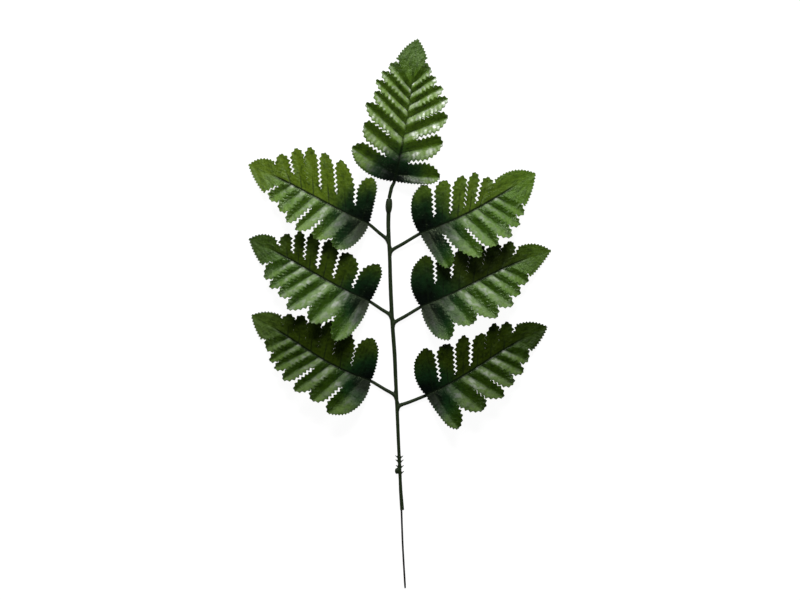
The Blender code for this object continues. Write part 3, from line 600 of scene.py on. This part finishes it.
def sewn_leaf(name, leaf):
    """All grids of a leaf in one mesh, merged where they meet, and given thickness."""
    points, facts, faces, total = [], [], [], 0
    for hand, half in ((1, leaf.left), (-1, leaf.right)):
        grids = [lobe_grid(leaf, half, hand, lobe) for lobe in range(len(half.roots))]
        grids.append(end_grid(leaf, half, hand))
        for grid_points, grid_facts, shape in grids:
            cells = grid_faces(shape, total)
            ends_upwards = (hand > 0) == (len(grid_points) == len(T) * len(A))
            faces.append(cells if ends_upwards else cells[:, ::-1])
            points.append(grid_points)
            facts.append(grid_facts)
            total += len(grid_points)
    piece = new_piece(name, np.concatenate(points), np.concatenate(faces))
    columns = np.concatenate(facts)
    for k, fact in enumerate(FACTS):
        layer = piece.data.attributes.new(fact, "FLOAT", "POINT")
        layer.data.foreach_set("value", np.ascontiguousarray(columns[:, k], dtype=np.float32))
    sheet = bmesh.new()
    sheet.from_mesh(piece.data)
    bmesh.ops.remove_doubles(sheet, verts=sheet.verts, dist=1e-6)
    bmesh.ops.recalc_face_normals(sheet, faces=sheet.faces)
    sheet.normal_update()
    downward = [face for face in sheet.faces if face.normal.z < 0.0]
    bmesh.ops.reverse_faces(sheet, faces=downward)
    sheet.to_mesh(piece.data)
    sheet.free()
    cloth = piece.modifiers.new("cloth", "SOLIDIFY")
    cloth.thickness = FABRIC_THICKNESS * MM
    cloth.offset = 0.0
    applied(piece)
    piece.data.polygons.foreach_set("use_smooth", np.ones(len(piece.data.polygons), dtype=bool))
    piece.data.set_sharp_from_angle(angle=np.radians(RIM_ANGLE))
    return piece


fabrics = {}
for name, leaf in LEAVES.items():
    piece = sewn_leaf("fabric_" + name.removeprefix("leaf_"), leaf)
    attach(piece, "root")
    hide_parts(name)
    fabrics[name] = piece
    piece.data.calc_loop_triangles()
    print(piece.name, len(piece.data.loop_triangles), "triangles")

# %% [markdown]
# ## The moulded stem
#
# The stem, its branches and the spines under the leaves come out of one mould. Tubes carried
# along smooth lines give the shapes, and a voxel remesh melts them into one skin with soft
# fillets where they join.

# %% Lines and tubes
STEM_END_Y = -163.6
STEM_SIDES = 12
KNUCKLE_RADIUS = 2.9
KNUCKLE_NECK_RADIUS = 1.85
KNUCKLE_LENGTH = 11.5
KNUCKLE_CENTRE_Y = 89.7
KNUCKLE_FULLNESS = 0.6
BRANCH_RADIUS = 1.5
BRANCH_ROOT_RADIUS = 1.615
BRANCH_ROOT_SHARE = 0.9
BRANCH_ROOT_RISE = 0.25
BRANCH_TURN = (2.2, 5.0, 0.15)  # out, along the stem and up, in mm
BRANCH_RUN_SHARE = 0.42
BRANCH_STEPS = 10
SPINE_RADIUS = 1.4
SPINE_TIP_RADIUS = 0.45
SPINE_START = -0.005
SPINE_SHARE = 0.76
SPINE_GAP = 0.45
SPINE_ROOT_DROP = 0.50
SPINE_ROOT_REACH = 0.12
SPINE_CROWDING = 1.4
SLOPE_STEP = 0.02
WIRE_RADIUS = 0.80
WIRE_TOP_Y = 80.0
WIRE_LIFT = 0.02
WIRE_END_RADIUS = 0.62
WIRE_BEVEL = 0.4
TWIG_RADIUS = 1.55
TWIG_PLUG_RADIUS = 0.95
# The twig's points from the knuckle's top on: right, along the stem and up, in mm
TWIG_LEAD = ((0.0, -3.0, 0.0), (0.0, 0.6, 0.0), (1.0, 5.3, 0.45), (2.0, 9.3, 0.9))
TWIG_STEPS = 8
END_LEAN = 0.6
LEAN_REACH = 16.0
CAD_HALF_SHEET = 0.4

STEM_LINE = (
    (-8.6, 97.2), (-9.3, 84.0), (-9.45, 70.5), (-8.35, 47.0), (-7.85, 28.0), (-7.15, 10.5),
    (-6.1, -9.2), (-4.3, -34.0), (-3.4, -55.0), (-2.2, -80.0), (-1.0, -109.0), (0.3, -136.0),
    (1.4, -163.6), (2.5, -193.5), (4.5, -228.6),
)
# The stem's radius, as (Y, radius) from its lower end up
STEM_RADII = (
    (-163.6, 1.72), (-138.0, 1.40), (-110.0, 1.46), (-60.0, 1.62), (-30.0, 1.74), (15.0, 1.74),
    (45.0, 1.62), (78.0, 1.80),
)
BRANCH_ROOTS = {
    "leaf_left_1": 57.0, "leaf_right_1": 47.4, "leaf_left_2": -5.9,
    "leaf_right_2": -12.5, "leaf_left_3": -72.6, "leaf_right_3": -82.0,
}
BARBS = ((-121.0, 1), (-124.4, 1), (-129.0, 1), (-133.8, 1), (-120.8, -1), (-124.2, -1),
         (-128.8, -1))
BARB = (3.5, 2.8, 0.2)  # out, along the stem and up, in mm
BARB_RADII = (0.95, 0.30)
BARB_STATIONS = 12
# A web's three points: where along the stem its X is read, then out, along the stem and up
WEB = ((9.0, 1.2, 9.0, 0.0), (6.4, 2.1, 6.6, 0.0), (6.5, 4.2, 7.3, 0.2))
WEB_LIFT = 0.1
WEB_RADII = (0.5, 0.7)
LUMP_CENTRE = (-2.4, -131.0, 1.8)
LUMP_RADIUS = 1.8
LUMP_STRETCH = 1.4
MELT_VOXEL = 0.33


def curve_through(points, steps):
    """Catmull-Rom: half of 2b + (c-a)t + (2a-5b+4c-d)t^2 + (3b-a-3c+d)t^3 on each stretch."""
    knots = np.array(points, dtype=float)
    knots = np.vstack((2 * knots[0] - knots[1], knots, 2 * knots[-1] - knots[-2]))
    a, b, c, d = (knots[i:len(knots) - 3 + i, None] for i in range(4))
    t = (np.arange(steps) / steps)[None, :, None]
    line = 0.5 * (2 * b + (c - a) * t + (2 * a - 5 * b + 4 * c - d) * t ** 2
                  + (3 * b - a - 3 * c + d) * t ** 3)
    return np.vstack((line.reshape(-1, knots.shape[1]), knots[-2]))


def tube(line, radii, sides=20):
    """centre + radius (across cos a + upward sin a), closed by two end faces; lengths in mm"""
    line = np.asarray(line, dtype=float)
    radii = np.broadcast_to(radii, len(line))
    along = unit(np.gradient(line, axis=0))
    across = unit(np.cross(along, (0.0, 0.0, 1.0)))
    upward = np.cross(across, along)
    angle = 2.0 * np.pi * np.arange(sides) / sides
    ring = (across[:, None] * np.cos(angle)[None, :, None]
            + upward[:, None] * np.sin(angle)[None, :, None])
    points = line[:, None] + radii[:, None, None] * ring
    number = np.arange(len(line) * sides).reshape(len(line), sides)
    beside = np.roll(number, -1, axis=1)
    walls = np.stack((number[:-1], beside[:-1], beside[1:], number[1:]), axis=-1).reshape(-1, 4)
    faces = walls.tolist() + [number[0, ::-1].tolist(), number[-1].tolist()]
    return points.reshape(-1, 3) * MM, faces


def in_one(shapes):
    """Several (points, faces) as one, with the later faces' numbers moved on."""
    starts = np.cumsum([0] + [len(points) for points, faces in shapes])
    faces = [[k + int(start) for k in face]
             for start, (_, shape) in zip(starts, shapes) for face in shape]
    return np.concatenate([points for points, _ in shapes]), faces


def foot(radius):
    """How high a stem's centre is where its lowest side lies on the table."""
    return radius * np.cos(np.pi / STEM_SIDES)


stem_curve = curve_through(STEM_LINE, 8)[::-1]


def stem_x(y):
    """X of the stem's centre line at a given Y, read off the smooth curve."""
    return np.interp(y, stem_curve[:, 1], stem_curve[:, 0])


def stem_radius(y):
    """The stem's radius at a given Y, read off its list."""
    return np.interp(y, *np.transpose(STEM_RADII))


# %% [markdown]
# Each spine follows the underside of its leaf's midrib, a hair below the fabric, and gets thinner
# towards the leaf's tip. The branch that carries it flares where it leaves the main stem.

# %% Spines and branches
def spine(leaf, stations=44):
    """(line, radii) of the spine: the midrib's curve, lowered by a gap and its own radius."""
    share = np.linspace(0.0, 1.0, stations) ** SPINE_CROWDING
    u = SPINE_START + share * (SPINE_SHARE - SPINE_START)
    radii = SPINE_RADIUS + share * (SPINE_TIP_RADIUS - SPINE_RADIUS)
    x, y = place(leaf, 1, u, np.zeros_like(u))
    ahead = leaf_height(leaf, 0.0, u + SLOPE_STEP, 0.0)
    behind = leaf_height(leaf, 0.0, u - SLOPE_STEP, 0.0)
    tilt = (ahead - behind) / (2.0 * SLOPE_STEP * leaf.length)
    drop = (SPINE_GAP + radii) * np.sqrt(1.0 + tilt * tilt)
    z = leaf_height(leaf, 0.0, u, 0.0) - CAD_HALF_SHEET - drop
    z = z - SPINE_ROOT_DROP * np.maximum(0.0, 1.0 - u / SPINE_ROOT_REACH)
    return np.stack((x, y, z), axis=-1), radii


def branch(leaf, root_y):
    """A tube from inside the stem, by two turns, to the spine and along it."""
    line, radii = spine(leaf)
    side = 1.0 if leaf.base[0] > 0.0 else -1.0
    out, forward, rise = BRANCH_TURN
    root = np.array((stem_x(root_y), root_y, foot(stem_radius(root_y)) + BRANCH_ROOT_RISE))
    turn = np.array((stem_x(root_y + forward) + side * out, root_y + forward, root[2] + rise))
    run = turn + BRANCH_RUN_SHARE * (line[0] - turn)
    run[2] = 0.5 * (turn[2] + line[0, 2])
    first = BRANCH_ROOT_SHARE * stem_radius(root_y)
    width = (first, BRANCH_ROOT_RADIUS, BRANCH_RADIUS, SPINE_RADIUS)
    count = BRANCH_STEPS * (len(width) - 1)
    lead = curve_through((root, turn, run, line[0], line[4]), BRANCH_STEPS)[:count]
    lead_radii = np.interp(np.arange(count) / BRANCH_STEPS, np.arange(len(width)), width)
    return tube(np.vstack((lead, line)), np.concatenate((lead_radii, radii)), 16)


def web(leaf, root_y):
    """The thin fillet in the fork between a branch and the stem."""
    side = 1.0 if leaf.base[0] > 0.0 else -1.0
    height = foot(stem_radius(root_y)) + WEB_LIFT
    points = [(stem_x(root_y + read) + side * out, root_y + forward, height + rise)
              for read, out, forward, rise in WEB]
    line = curve_through(points, 6)
    return tube(line, np.linspace(*WEB_RADII, len(line)), 10)


# %% [markdown]
# The trunk, the barrel-shaped knuckle that holds the top twig, and the row of small barbs near
# the lower end, with a lump of plastic where the mould was filled.

# %% Trunk, knuckle and barbs
trunk_y = np.linspace(KNUCKLE_CENTRE_Y, STEM_END_Y, 90)
trunk_radii = stem_radius(trunk_y)
lean = END_LEAN * np.clip((LEAN_REACH - trunk_y + STEM_END_Y) / LEAN_REACH, 0.0, 1.0)
trunk_line = np.stack((stem_x(trunk_y) + lean, trunk_y, foot(trunk_radii)), axis=-1)
trunk = tube(trunk_line, trunk_radii, 24)

barrel_share = np.linspace(0.0, 1.0, 25)
barrel_y = KNUCKLE_CENTRE_Y + KNUCKLE_LENGTH * (0.5 - barrel_share)
barrel_radii = KNUCKLE_NECK_RADIUS + (KNUCKLE_RADIUS - KNUCKLE_NECK_RADIUS) * np.abs(
    np.sin(np.pi * barrel_share)) ** KNUCKLE_FULLNESS
barrel_foot = foot(np.where(barrel_share > 0.5, barrel_radii, KNUCKLE_RADIUS))
barrel_line = np.stack((stem_x(barrel_y), barrel_y, barrel_foot), axis=-1)
barrel = tube(barrel_line, barrel_radii, 28)


def barb(root_y, side):
    """A slim cone that leans up and out of the stem."""
    start = np.array((stem_x(root_y), root_y, foot(stem_radius(root_y))))
    reach, rise, lift = BARB
    finish = start + (side * reach, rise, lift)
    line = straight(start, finish, np.linspace(0.0, 1.0, BARB_STATIONS))
    return tube(line, np.linspace(*BARB_RADII, BARB_STATIONS), 12)


def lump(centre, radius, stretch):
    """A ball stretched along Y, as a tube whose radius follows a half circle."""
    share = np.linspace(0.03, 0.97, 15) * np.pi
    line = np.array(centre) - np.outer(np.cos(share) * radius * stretch, (0.0, 1.0, 0.0))
    return tube(line, radius * np.sin(share), 16)


shapes = [trunk, barrel, lump(LUMP_CENTRE, LUMP_RADIUS, LUMP_STRETCH)]
shapes += [branch(LEAVES[name], y) for name, y in BRANCH_ROOTS.items()]
shapes += [web(LEAVES[name], y) for name, y in BRANCH_ROOTS.items()]
shapes += [barb(y, side) for y, side in BARBS]
stem = new_piece("moulded_stem", *in_one(shapes))

melt = stem.modifiers.new("melt", "REMESH")
melt.mode = "VOXEL"
melt.voxel_size = MELT_VOXEL * MM
melt.use_smooth_shade = True
ease = stem.modifiers.new("ease", "SMOOTH")
ease.factor = 0.5
ease.iterations = 3
applied(stem)
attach(stem, "root")
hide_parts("stem")
print("stem:", len(stem.data.polygons), "faces")

# %% [markdown]
# The top twig is a separate moulding: its plug sits in the knuckle, and its spine carries the top
# leaf. The wire leaves the cut end of the stem.

# %% Twig and wire
top_spine, top_radii = spine(LEAVES["leaf_top"])
knuckle_top = KNUCKLE_CENTRE_Y + 0.5 * KNUCKLE_LENGTH
lead_x = float(stem_x(knuckle_top))
twig_height = foot(KNUCKLE_RADIUS)
lead_points = [(lead_x + x, knuckle_top + y, twig_height + z) for x, y, z in TWIG_LEAD]
twig_count = TWIG_STEPS * len(TWIG_LEAD)
twig_lead = curve_through((*lead_points, top_spine[0], top_spine[4]), TWIG_STEPS)[:twig_count]
twig_radii = np.interp(np.arange(twig_count) / TWIG_STEPS, (0.95, 1.0, 3.0, 4.0), (
    TWIG_PLUG_RADIUS, TWIG_RADIUS, TWIG_RADIUS, SPINE_RADIUS))
twig = new_piece("plugged_twig", *tube(
    np.vstack((twig_lead, top_spine)), np.concatenate((twig_radii, top_radii)), 20))

wire_end_y = STEM_LINE[-1][1]
wire_y = np.linspace(WIRE_TOP_Y, wire_end_y, 120)
sink = np.clip((STEM_END_Y - wire_y) / (STEM_END_Y - wire_end_y), 0.0, 1.0)
wire_z = foot(stem_radius(wire_y)) * (1.0 - sink) + (WIRE_RADIUS + WIRE_LIFT) * sink
bevel = (wire_end_y, wire_end_y + WIRE_BEVEL)
wire_radii = np.interp(wire_y, bevel, (WIRE_END_RADIUS, WIRE_RADIUS))
wire_line = np.stack((stem_x(wire_y), wire_y, wire_z), axis=-1)
wire = new_piece("steel_wire", *tube(wire_line, wire_radii, 16))

for piece, node, slot_name in ((twig, "top_twig", "stem_plastic"), (wire, "wire", "wire_steel")):
    piece.data.polygons.foreach_set("use_smooth", np.ones(len(piece.data.polygons), dtype=bool))
    piece.data.set_sharp_from_angle(angle=np.radians(50.0))
    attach(piece, "root")
    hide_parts(node)
    print(piece.name, len(piece.data.polygons), "faces")

# %% [markdown]
# ## Shader maths as plain expressions
#
# A mask such as "near the base and near the midrib" is arithmetic on sockets. One small class
# wraps a socket, so that +, - and * on it add Math nodes.

# %% A socket with arithmetic
class Number:
    """A number that changes over the surface. Sums and products of it add Math nodes."""

    def __init__(self, paint, socket):
        self.paint = paint
        self.socket = socket

    def maths(self, operation, first, second):
        return self.paint.number("ShaderNodeMath", {"operation": operation}, {0: first, 1: second})

    def __add__(self, other):
        return self.maths("ADD", self, other)

    def __radd__(self, other):
        return self.maths("ADD", other, self)

    def __sub__(self, other):
        return self.maths("SUBTRACT", self, other)

    def __rsub__(self, other):
        return self.maths("SUBTRACT", other, self)

    def __mul__(self, other):
        return self.maths("MULTIPLY", self, other)

    def __rmul__(self, other):
        return self.maths("MULTIPLY", other, self)


class Paint:
    """A material and the ways to add nodes to it."""

    def __init__(self, name):
        self.material = bpy.data.materials.new(name)
        self.material.use_nodes = True
        self.tree = self.material.node_tree
        self.shader = self.tree.nodes["Principled BSDF"]
        self.place = self.add("ShaderNodeTexCoord").outputs["Object"]

    def add(self, kind, settings=None, sockets=None):
        """Adds any node: its settings first, then the values or links of its sockets."""
        node = self.tree.nodes.new(kind)
        for key, value in (settings or {}).items():
            setattr(node, key, value)
        for key, value in (sockets or {}).items():
            self.feed(node.inputs[key], value)
        return node

    def feed(self, socket, value):
        """Links a socket to a Number or another socket, or sets its plain value."""
        if isinstance(value, Number):
            value = value.socket
        if isinstance(value, bpy.types.NodeSocket):
            self.tree.links.new(value, socket)
        else:
            socket.default_value = value

    def number(self, kind, settings=None, sockets=None, output=0):
        return Number(self, self.add(kind, settings, sockets).outputs[output])

    def fact(self, name):
        """One of the facts that the mesh carries at each point."""
        return self.number("ShaderNodeAttribute", {"attribute_name": name}, output="Fac")

    def step(self, value, low, high):
        """A soft step from 0 at low to 1 at high."""
        return self.number(
            "ShaderNodeMapRange", {"interpolation_type": "SMOOTHSTEP"},
            {"Value": value, "From Min": low, "From Max": high},
        )

    def noise(self, per_mm, detail=2.0, roughness=0.5, vector=None):
        """Noise from 0 to 1, with about per_mm features to a millimetre."""
        return self.number("ShaderNodeTexNoise", None, {
            "Vector": vector or self.place, "Scale": per_mm / MM, "Detail": detail,
            "Roughness": roughness,
        }, output="Fac")

    def joined(self, x, y, z):
        """Three numbers as one vector."""
        return self.add("ShaderNodeCombineXYZ", None, {0: x, 1: y, 2: z}).outputs["Vector"]

    def mix(self, share, first, second, blend="MIX"):
        """Colours mixed by a share from 0 to 1."""
        settings = {"data_type": "RGBA", "blend_type": blend, "clamp_factor": True}
        node = self.add("ShaderNodeMix", settings)
        for key, value in ((0, share), (6, first), (7, second)):
            self.feed(node.inputs[key], value)
        return node.outputs[2]

    def bump(self, height, distance, strength=1.0, under=None):
        """A bump of a given depth in mm, on top of an earlier one."""
        sockets = {"Height": height, "Distance": distance * MM, "Strength": strength}
        if under is not None:
            sockets["Normal"] = under
        return self.add("ShaderNodeBump", None, sockets).outputs["Normal"]

    def finish(self, **sockets):
        """Sets the shader's sockets by name, with _ for a space."""
        for key, value in sockets.items():
            self.feed(self.shader.inputs[key.replace("_", " ")], value)
        return self.material


def shade(red, green, blue):
    """A screen colour from 0 to 255 as linear light: ((c / 255 + 0.055) / 1.055)^2.4"""
    screen = np.array((red, green, blue)) / 255.0
    linear = np.where(screen <= 0.04045, screen / 12.92, ((screen + 0.055) / 1.055) ** 2.4)
    return (*linear.tolist(), 1.0)


# %% [markdown]
# ## Printed satin
#
# The fabric is woven white and printed: blackish teal round the leaf's base, deep green beyond
# it, and olive towards the tips. The print is uneven, as wet dye is. The midrib and the veins are
# pressed in, and their grooves carry painted shade. The weave and the press leave a satin gloss.
# The flanks that face the leaf's base shine in pale streaks: a coat weighted by the mesh's own
# facts gives that sheen, and a painted sheen lightens their colour. The flanks that face away
# carry painted shade.

# %% The leaves' finish
# flat, steep and tip: screen colours of the flatter and the steeper half and of the leaf's end.
# gloss: how strong the weave's own gloss is. sheen: how strongly the flanks that face the leaf's
# base shine, in the coat and as a painted sheen in the colour. dye: how quickly the dark print
# gives way. rib: how dark the midrib's painted shade stays outwards.
Satin = namedtuple("Satin", "flat steep tip gloss sheen dye rib")

SATINS = {
    "leaf_left_1": Satin((86, 108, 22), (68, 98, 20), (90, 112, 26), 0.32, 0.28, 1.10, 1.0),
    "leaf_left_2": Satin((54, 72, 10), (56, 86, 18), (50, 72, 16), 0.25, 0.33, 1.45, 1.0),
    "leaf_left_3": Satin((48, 64, 8), (42, 64, 8), (66, 86, 30), 0.14, 0.17, 1.50, 1.0),
    "leaf_right_1": Satin((78, 100, 26), (62, 94, 18), (80, 108, 24), 0.26, 0.24, 1.05, 1.0),
    "leaf_right_2": Satin((44, 58, 9), (58, 88, 16), (62, 86, 14), 0.28, 0.26, 1.15, 1.0),
    "leaf_right_3": Satin((40, 54, 5), (42, 64, 8), (34, 50, 4), 0.14, 0.17, 1.45, 1.0),
    "leaf_top": Satin((72, 98, 22), (72, 98, 22), (52, 80, 6), 0.34, 0.92, 1.5, 0.3),
}
OLIVE_TINT = (0.78, 1.0, 0.58, 1.0)
COAT_ROUGHNESS = 0.48
COAT_IOR = 2.4
THREADS_PER_MM = 0.9


def printed_satin(name, satin):
    """Dye by distance from the base, painted shade in the creases and on the far flanks, painted
    sheen on the near flanks, a fine weave and a satin gloss.
    """
    paint = Paint(name)
    along = paint.fact("along_leaf")
    from_midrib = paint.fact("from_midrib")
    from_vein = paint.fact("from_vein")
    lobe = paint.fact("along_lobe")
    away = paint.step(paint.fact("flank"), 0.05, 0.75)
    near = 1.0 - paint.step(paint.fact("flank"), -0.90, -0.10)
    steep = paint.fact("steep")
    blotch = paint.noise(0.11, 3.0, 0.6)
    streak = paint.noise(0.45, 2.0, 0.55)
    lines = paint.joined(from_vein * 0.30, lobe * 6.5, along * 14.0)
    grain = paint.noise(MM, 1.5, 0.6, vector=lines)
    reach = satin.dye * paint.fact("from_base") + 0.16 * (blotch - 0.5)
    end = paint.step(along, 0.72, 0.88)

    colour = paint.mix(steep, shade(*satin.flat), shade(*satin.steep))
    colour = paint.mix(paint.step(along, 0.62, 0.98), colour, shade(*satin.tip))
    colour = paint.mix(0.35 * paint.step(lobe, 0.6, 1.0), colour, shade(*satin.tip))
    # Painted shade: the flank of each pleat that faces away from the leaf's base is darkened.
    colour = paint.mix(0.45 * away, colour, shade(24, 42, 6))
    deep = 1.0 - paint.step(reach, 0.22, 0.46)
    colour = paint.mix(deep, colour, shade(20, 50, 22))
    dark = 1.0 - paint.step(reach, 0.08, 0.33)
    colour = paint.mix(dark, colour, shade(6, 12, 10))
    # Painted sheen: the flanks that face the leaf's base are lightened towards a pale green.
    painted_sheen = near * (1.0 - deep) * (1.0 - end)
    colour = paint.mix((0.1 + 0.25 * satin.sheen) * painted_sheen, colour, shade(150, 184, 90))
    streaked = 0.5 * paint.step(streak, 0.35, 0.75)
    colour = paint.mix(streaked, colour, shade(100, 118, 60), "SOFT_LIGHT")
    grained = 0.6 * paint.step(grain, 0.45, 0.75)
    colour = paint.mix(grained, colour, shade(50, 60, 34), "SOFT_LIGHT")

    # Painted shade: the grooves of the midrib and the veins are darkened in the colour.
    faded = 1.0 - (1.0 - satin.rib) * paint.step(along, 0.20, 0.36)
    rib = faded * (1.0 - paint.step(from_midrib, 0.5, 1.9)) * (1.0 - paint.step(along, 0.72, 0.86))
    veins = (1.0 - paint.step(from_vein, 0.2, 0.95)) * (1.0 - paint.step(lobe, 0.20, 0.55))
    crease_shade = 1.0 - (1.0 - 0.88 * rib) * (1.0 - 0.70 * veins)
    colour = paint.mix(crease_shade, colour, shade(12, 22, 10))

    threads = 1.0
    for direction in ("X", "Y"):
        thread = paint.number("ShaderNodeTexWave", {"bands_direction": direction}, {
            "Vector": paint.place, "Scale": THREADS_PER_MM / MM, "Distortion": 0.6,
            "Detail": 1.0,
        }, output="Fac")
        threads = thread * threads
    puckers = paint.noise(0.9, 3.0, 0.6)
    normal = paint.bump(streak, 0.45, 0.8)
    normal = paint.bump(grain, 0.20, 0.8, under=normal)
    normal = paint.bump(puckers, 0.20, 0.8, under=normal)
    normal = paint.bump(threads, 0.03, 0.35, under=normal)
    gloss = 0.25 + 0.22 * grain + 0.08 * streak + 0.12 * near - 0.12 * away
    gloss = gloss + dark * (1.0 - steep) * (0.23 - gloss) + 0.12 * steep * dark
    gloss = gloss + end * (0.46 - gloss)
    outward = 1.0 - (1.0 - satin.sheen) * paint.step(lobe, 0.25, 0.80)
    lit = near * (1.0 - end) * (1.0 - 0.85 * dark) * (1.0 - 0.62 * deep) * outward
    lit = lit * (0.30 + 1.4 * paint.step(grain, 0.42, 0.66))
    return paint.finish(
        Base_Color=colour, Roughness=gloss, Normal=normal,
        Specular_IOR_Level=satin.gloss, Specular_Tint=OLIVE_TINT,
        Coat_Weight=satin.sheen * lit, Coat_Roughness=COAT_ROUGHNESS, Coat_IOR=COAT_IOR,
    )


for name, piece in fabrics.items():
    piece.data.materials.clear()
    piece.data.materials.append(printed_satin("printed satin " + piece.name, SATINS[name]))
print("satin on", len(fabrics), "leaves")

# %% [markdown]
# ## Plastic and wire
#
# The stems are green plastic with a low gloss, a little paler where the mould scuffed them.
# The wire is dark from annealing, with drawing lines along it.

# %% The stem's and the wire's finish
plastic = Paint("moulded green plastic")
cloud = plastic.noise(0.25, 3.0, 0.6)
scuff = plastic.noise(1.6, 2.0, 0.6)
plastic_colour = plastic.mix(cloud, shade(13, 25, 6), shade(31, 48, 14))
scuffed = 0.35 * plastic.step(scuff, 0.55, 0.8)
plastic_colour = plastic.mix(scuffed, plastic_colour, shade(50, 64, 32))
plastic.finish(
    Base_Color=plastic_colour, Roughness=0.50 + 0.16 * scuff, Specular_IOR_Level=0.22,
    Normal=plastic.bump(scuff, 0.08, 0.6),
)

steel = Paint("annealed wire")
stretched = steel.add("ShaderNodeMapping", None, {
    "Vector": steel.place, "Scale": (1.0, 0.05, 1.0),
})
drawn = steel.noise(3.0, 2.0, 0.6, stretched.outputs["Vector"])
steel_colour = steel.mix(drawn, shade(16, 17, 14), shade(46, 47, 40))
steel.finish(
    Base_Color=steel_colour, Metallic=0.55, Roughness=0.40 + 0.2 * drawn,
    Normal=steel.bump(drawn, 0.03, 0.5),
)

for piece, paint in ((stem, plastic), (twig, plastic), (wire, steel)):
    piece.data.materials.clear()
    piece.data.materials.append(paint.material)

# %% [markdown]
# ## Table, light and camera
#
# The spray was photographed from straight above on bright white. The table glows, which keeps
# the shadows faint. One broad window of light stands beyond the top leaf and catches the pleats
# of the lower halves, and a weak one fills in from the other side.

# %% Table
TABLE_REACH = 3.0
TABLE_Z = -0.0004
corners = [(x * TABLE_REACH, y * TABLE_REACH, TABLE_Z)
           for x, y in ((-1, -1), (1, -1), (1, 1), (-1, 1))]
table = new_piece("white_table", corners, [(0, 1, 2, 3)])
white = Paint("white table")
table.data.materials.append(white.finish(
    Base_Color=(0.16, 0.16, 0.16, 1.0), Roughness=0.9,
    Emission_Color=(1.0, 1.0, 1.0, 1.0), Emission_Strength=0.95,
))

# %% Light
def window(name, place_m, aim_m, width, height, watts):
    """A rectangular area light that faces a point."""
    light = bpy.data.lights.new(name, "AREA")
    light.shape = "RECTANGLE"
    light.size = width
    light.size_y = height
    light.energy = watts
    lamp = bpy.data.objects.new(name, light)
    bpy.context.scene.collection.objects.link(lamp)
    facing = np.array(aim_m) - np.array(place_m)
    tilt = np.arctan2(np.hypot(facing[0], facing[1]), -facing[2])
    lamp.location = place_m
    lamp.rotation_euler = (tilt, 0.0, np.arctan2(facing[0], -facing[1]) + np.pi)
    return lamp


window("key_window", (0.0, 1.45, 1.20), (0.0, 0.0, 0.0), 1.1, 0.6, 44.0)
window("low_fill", (0.0, -1.6, 0.9), (0.0, 0.0, 0.0), 1.6, 0.8, 3.0)

world = bpy.data.worlds.new("soft room")
world.use_nodes = True
world.node_tree.nodes["Background"].inputs["Color"].default_value = (1.0, 1.0, 1.0, 1.0)
world.node_tree.nodes["Background"].inputs["Strength"].default_value = 0.05
bpy.context.scene.world = world
bpy.context.scene.view_settings.view_transform = "Standard"

# %% Camera
LENS = 135.0
VIEW_WIDTH = 0.664
camera_data = bpy.data.cameras.new("camera")
camera_data.lens = LENS
camera = bpy.data.objects.new("camera", camera_data)
bpy.context.scene.collection.objects.link(camera)
camera.location = (0.0002, 0.0111, 0.006 + VIEW_WIDTH * LENS / camera_data.sensor_width)
bpy.context.scene.camera = camera
print("camera", round(camera.location.z, 3), "m above the table")
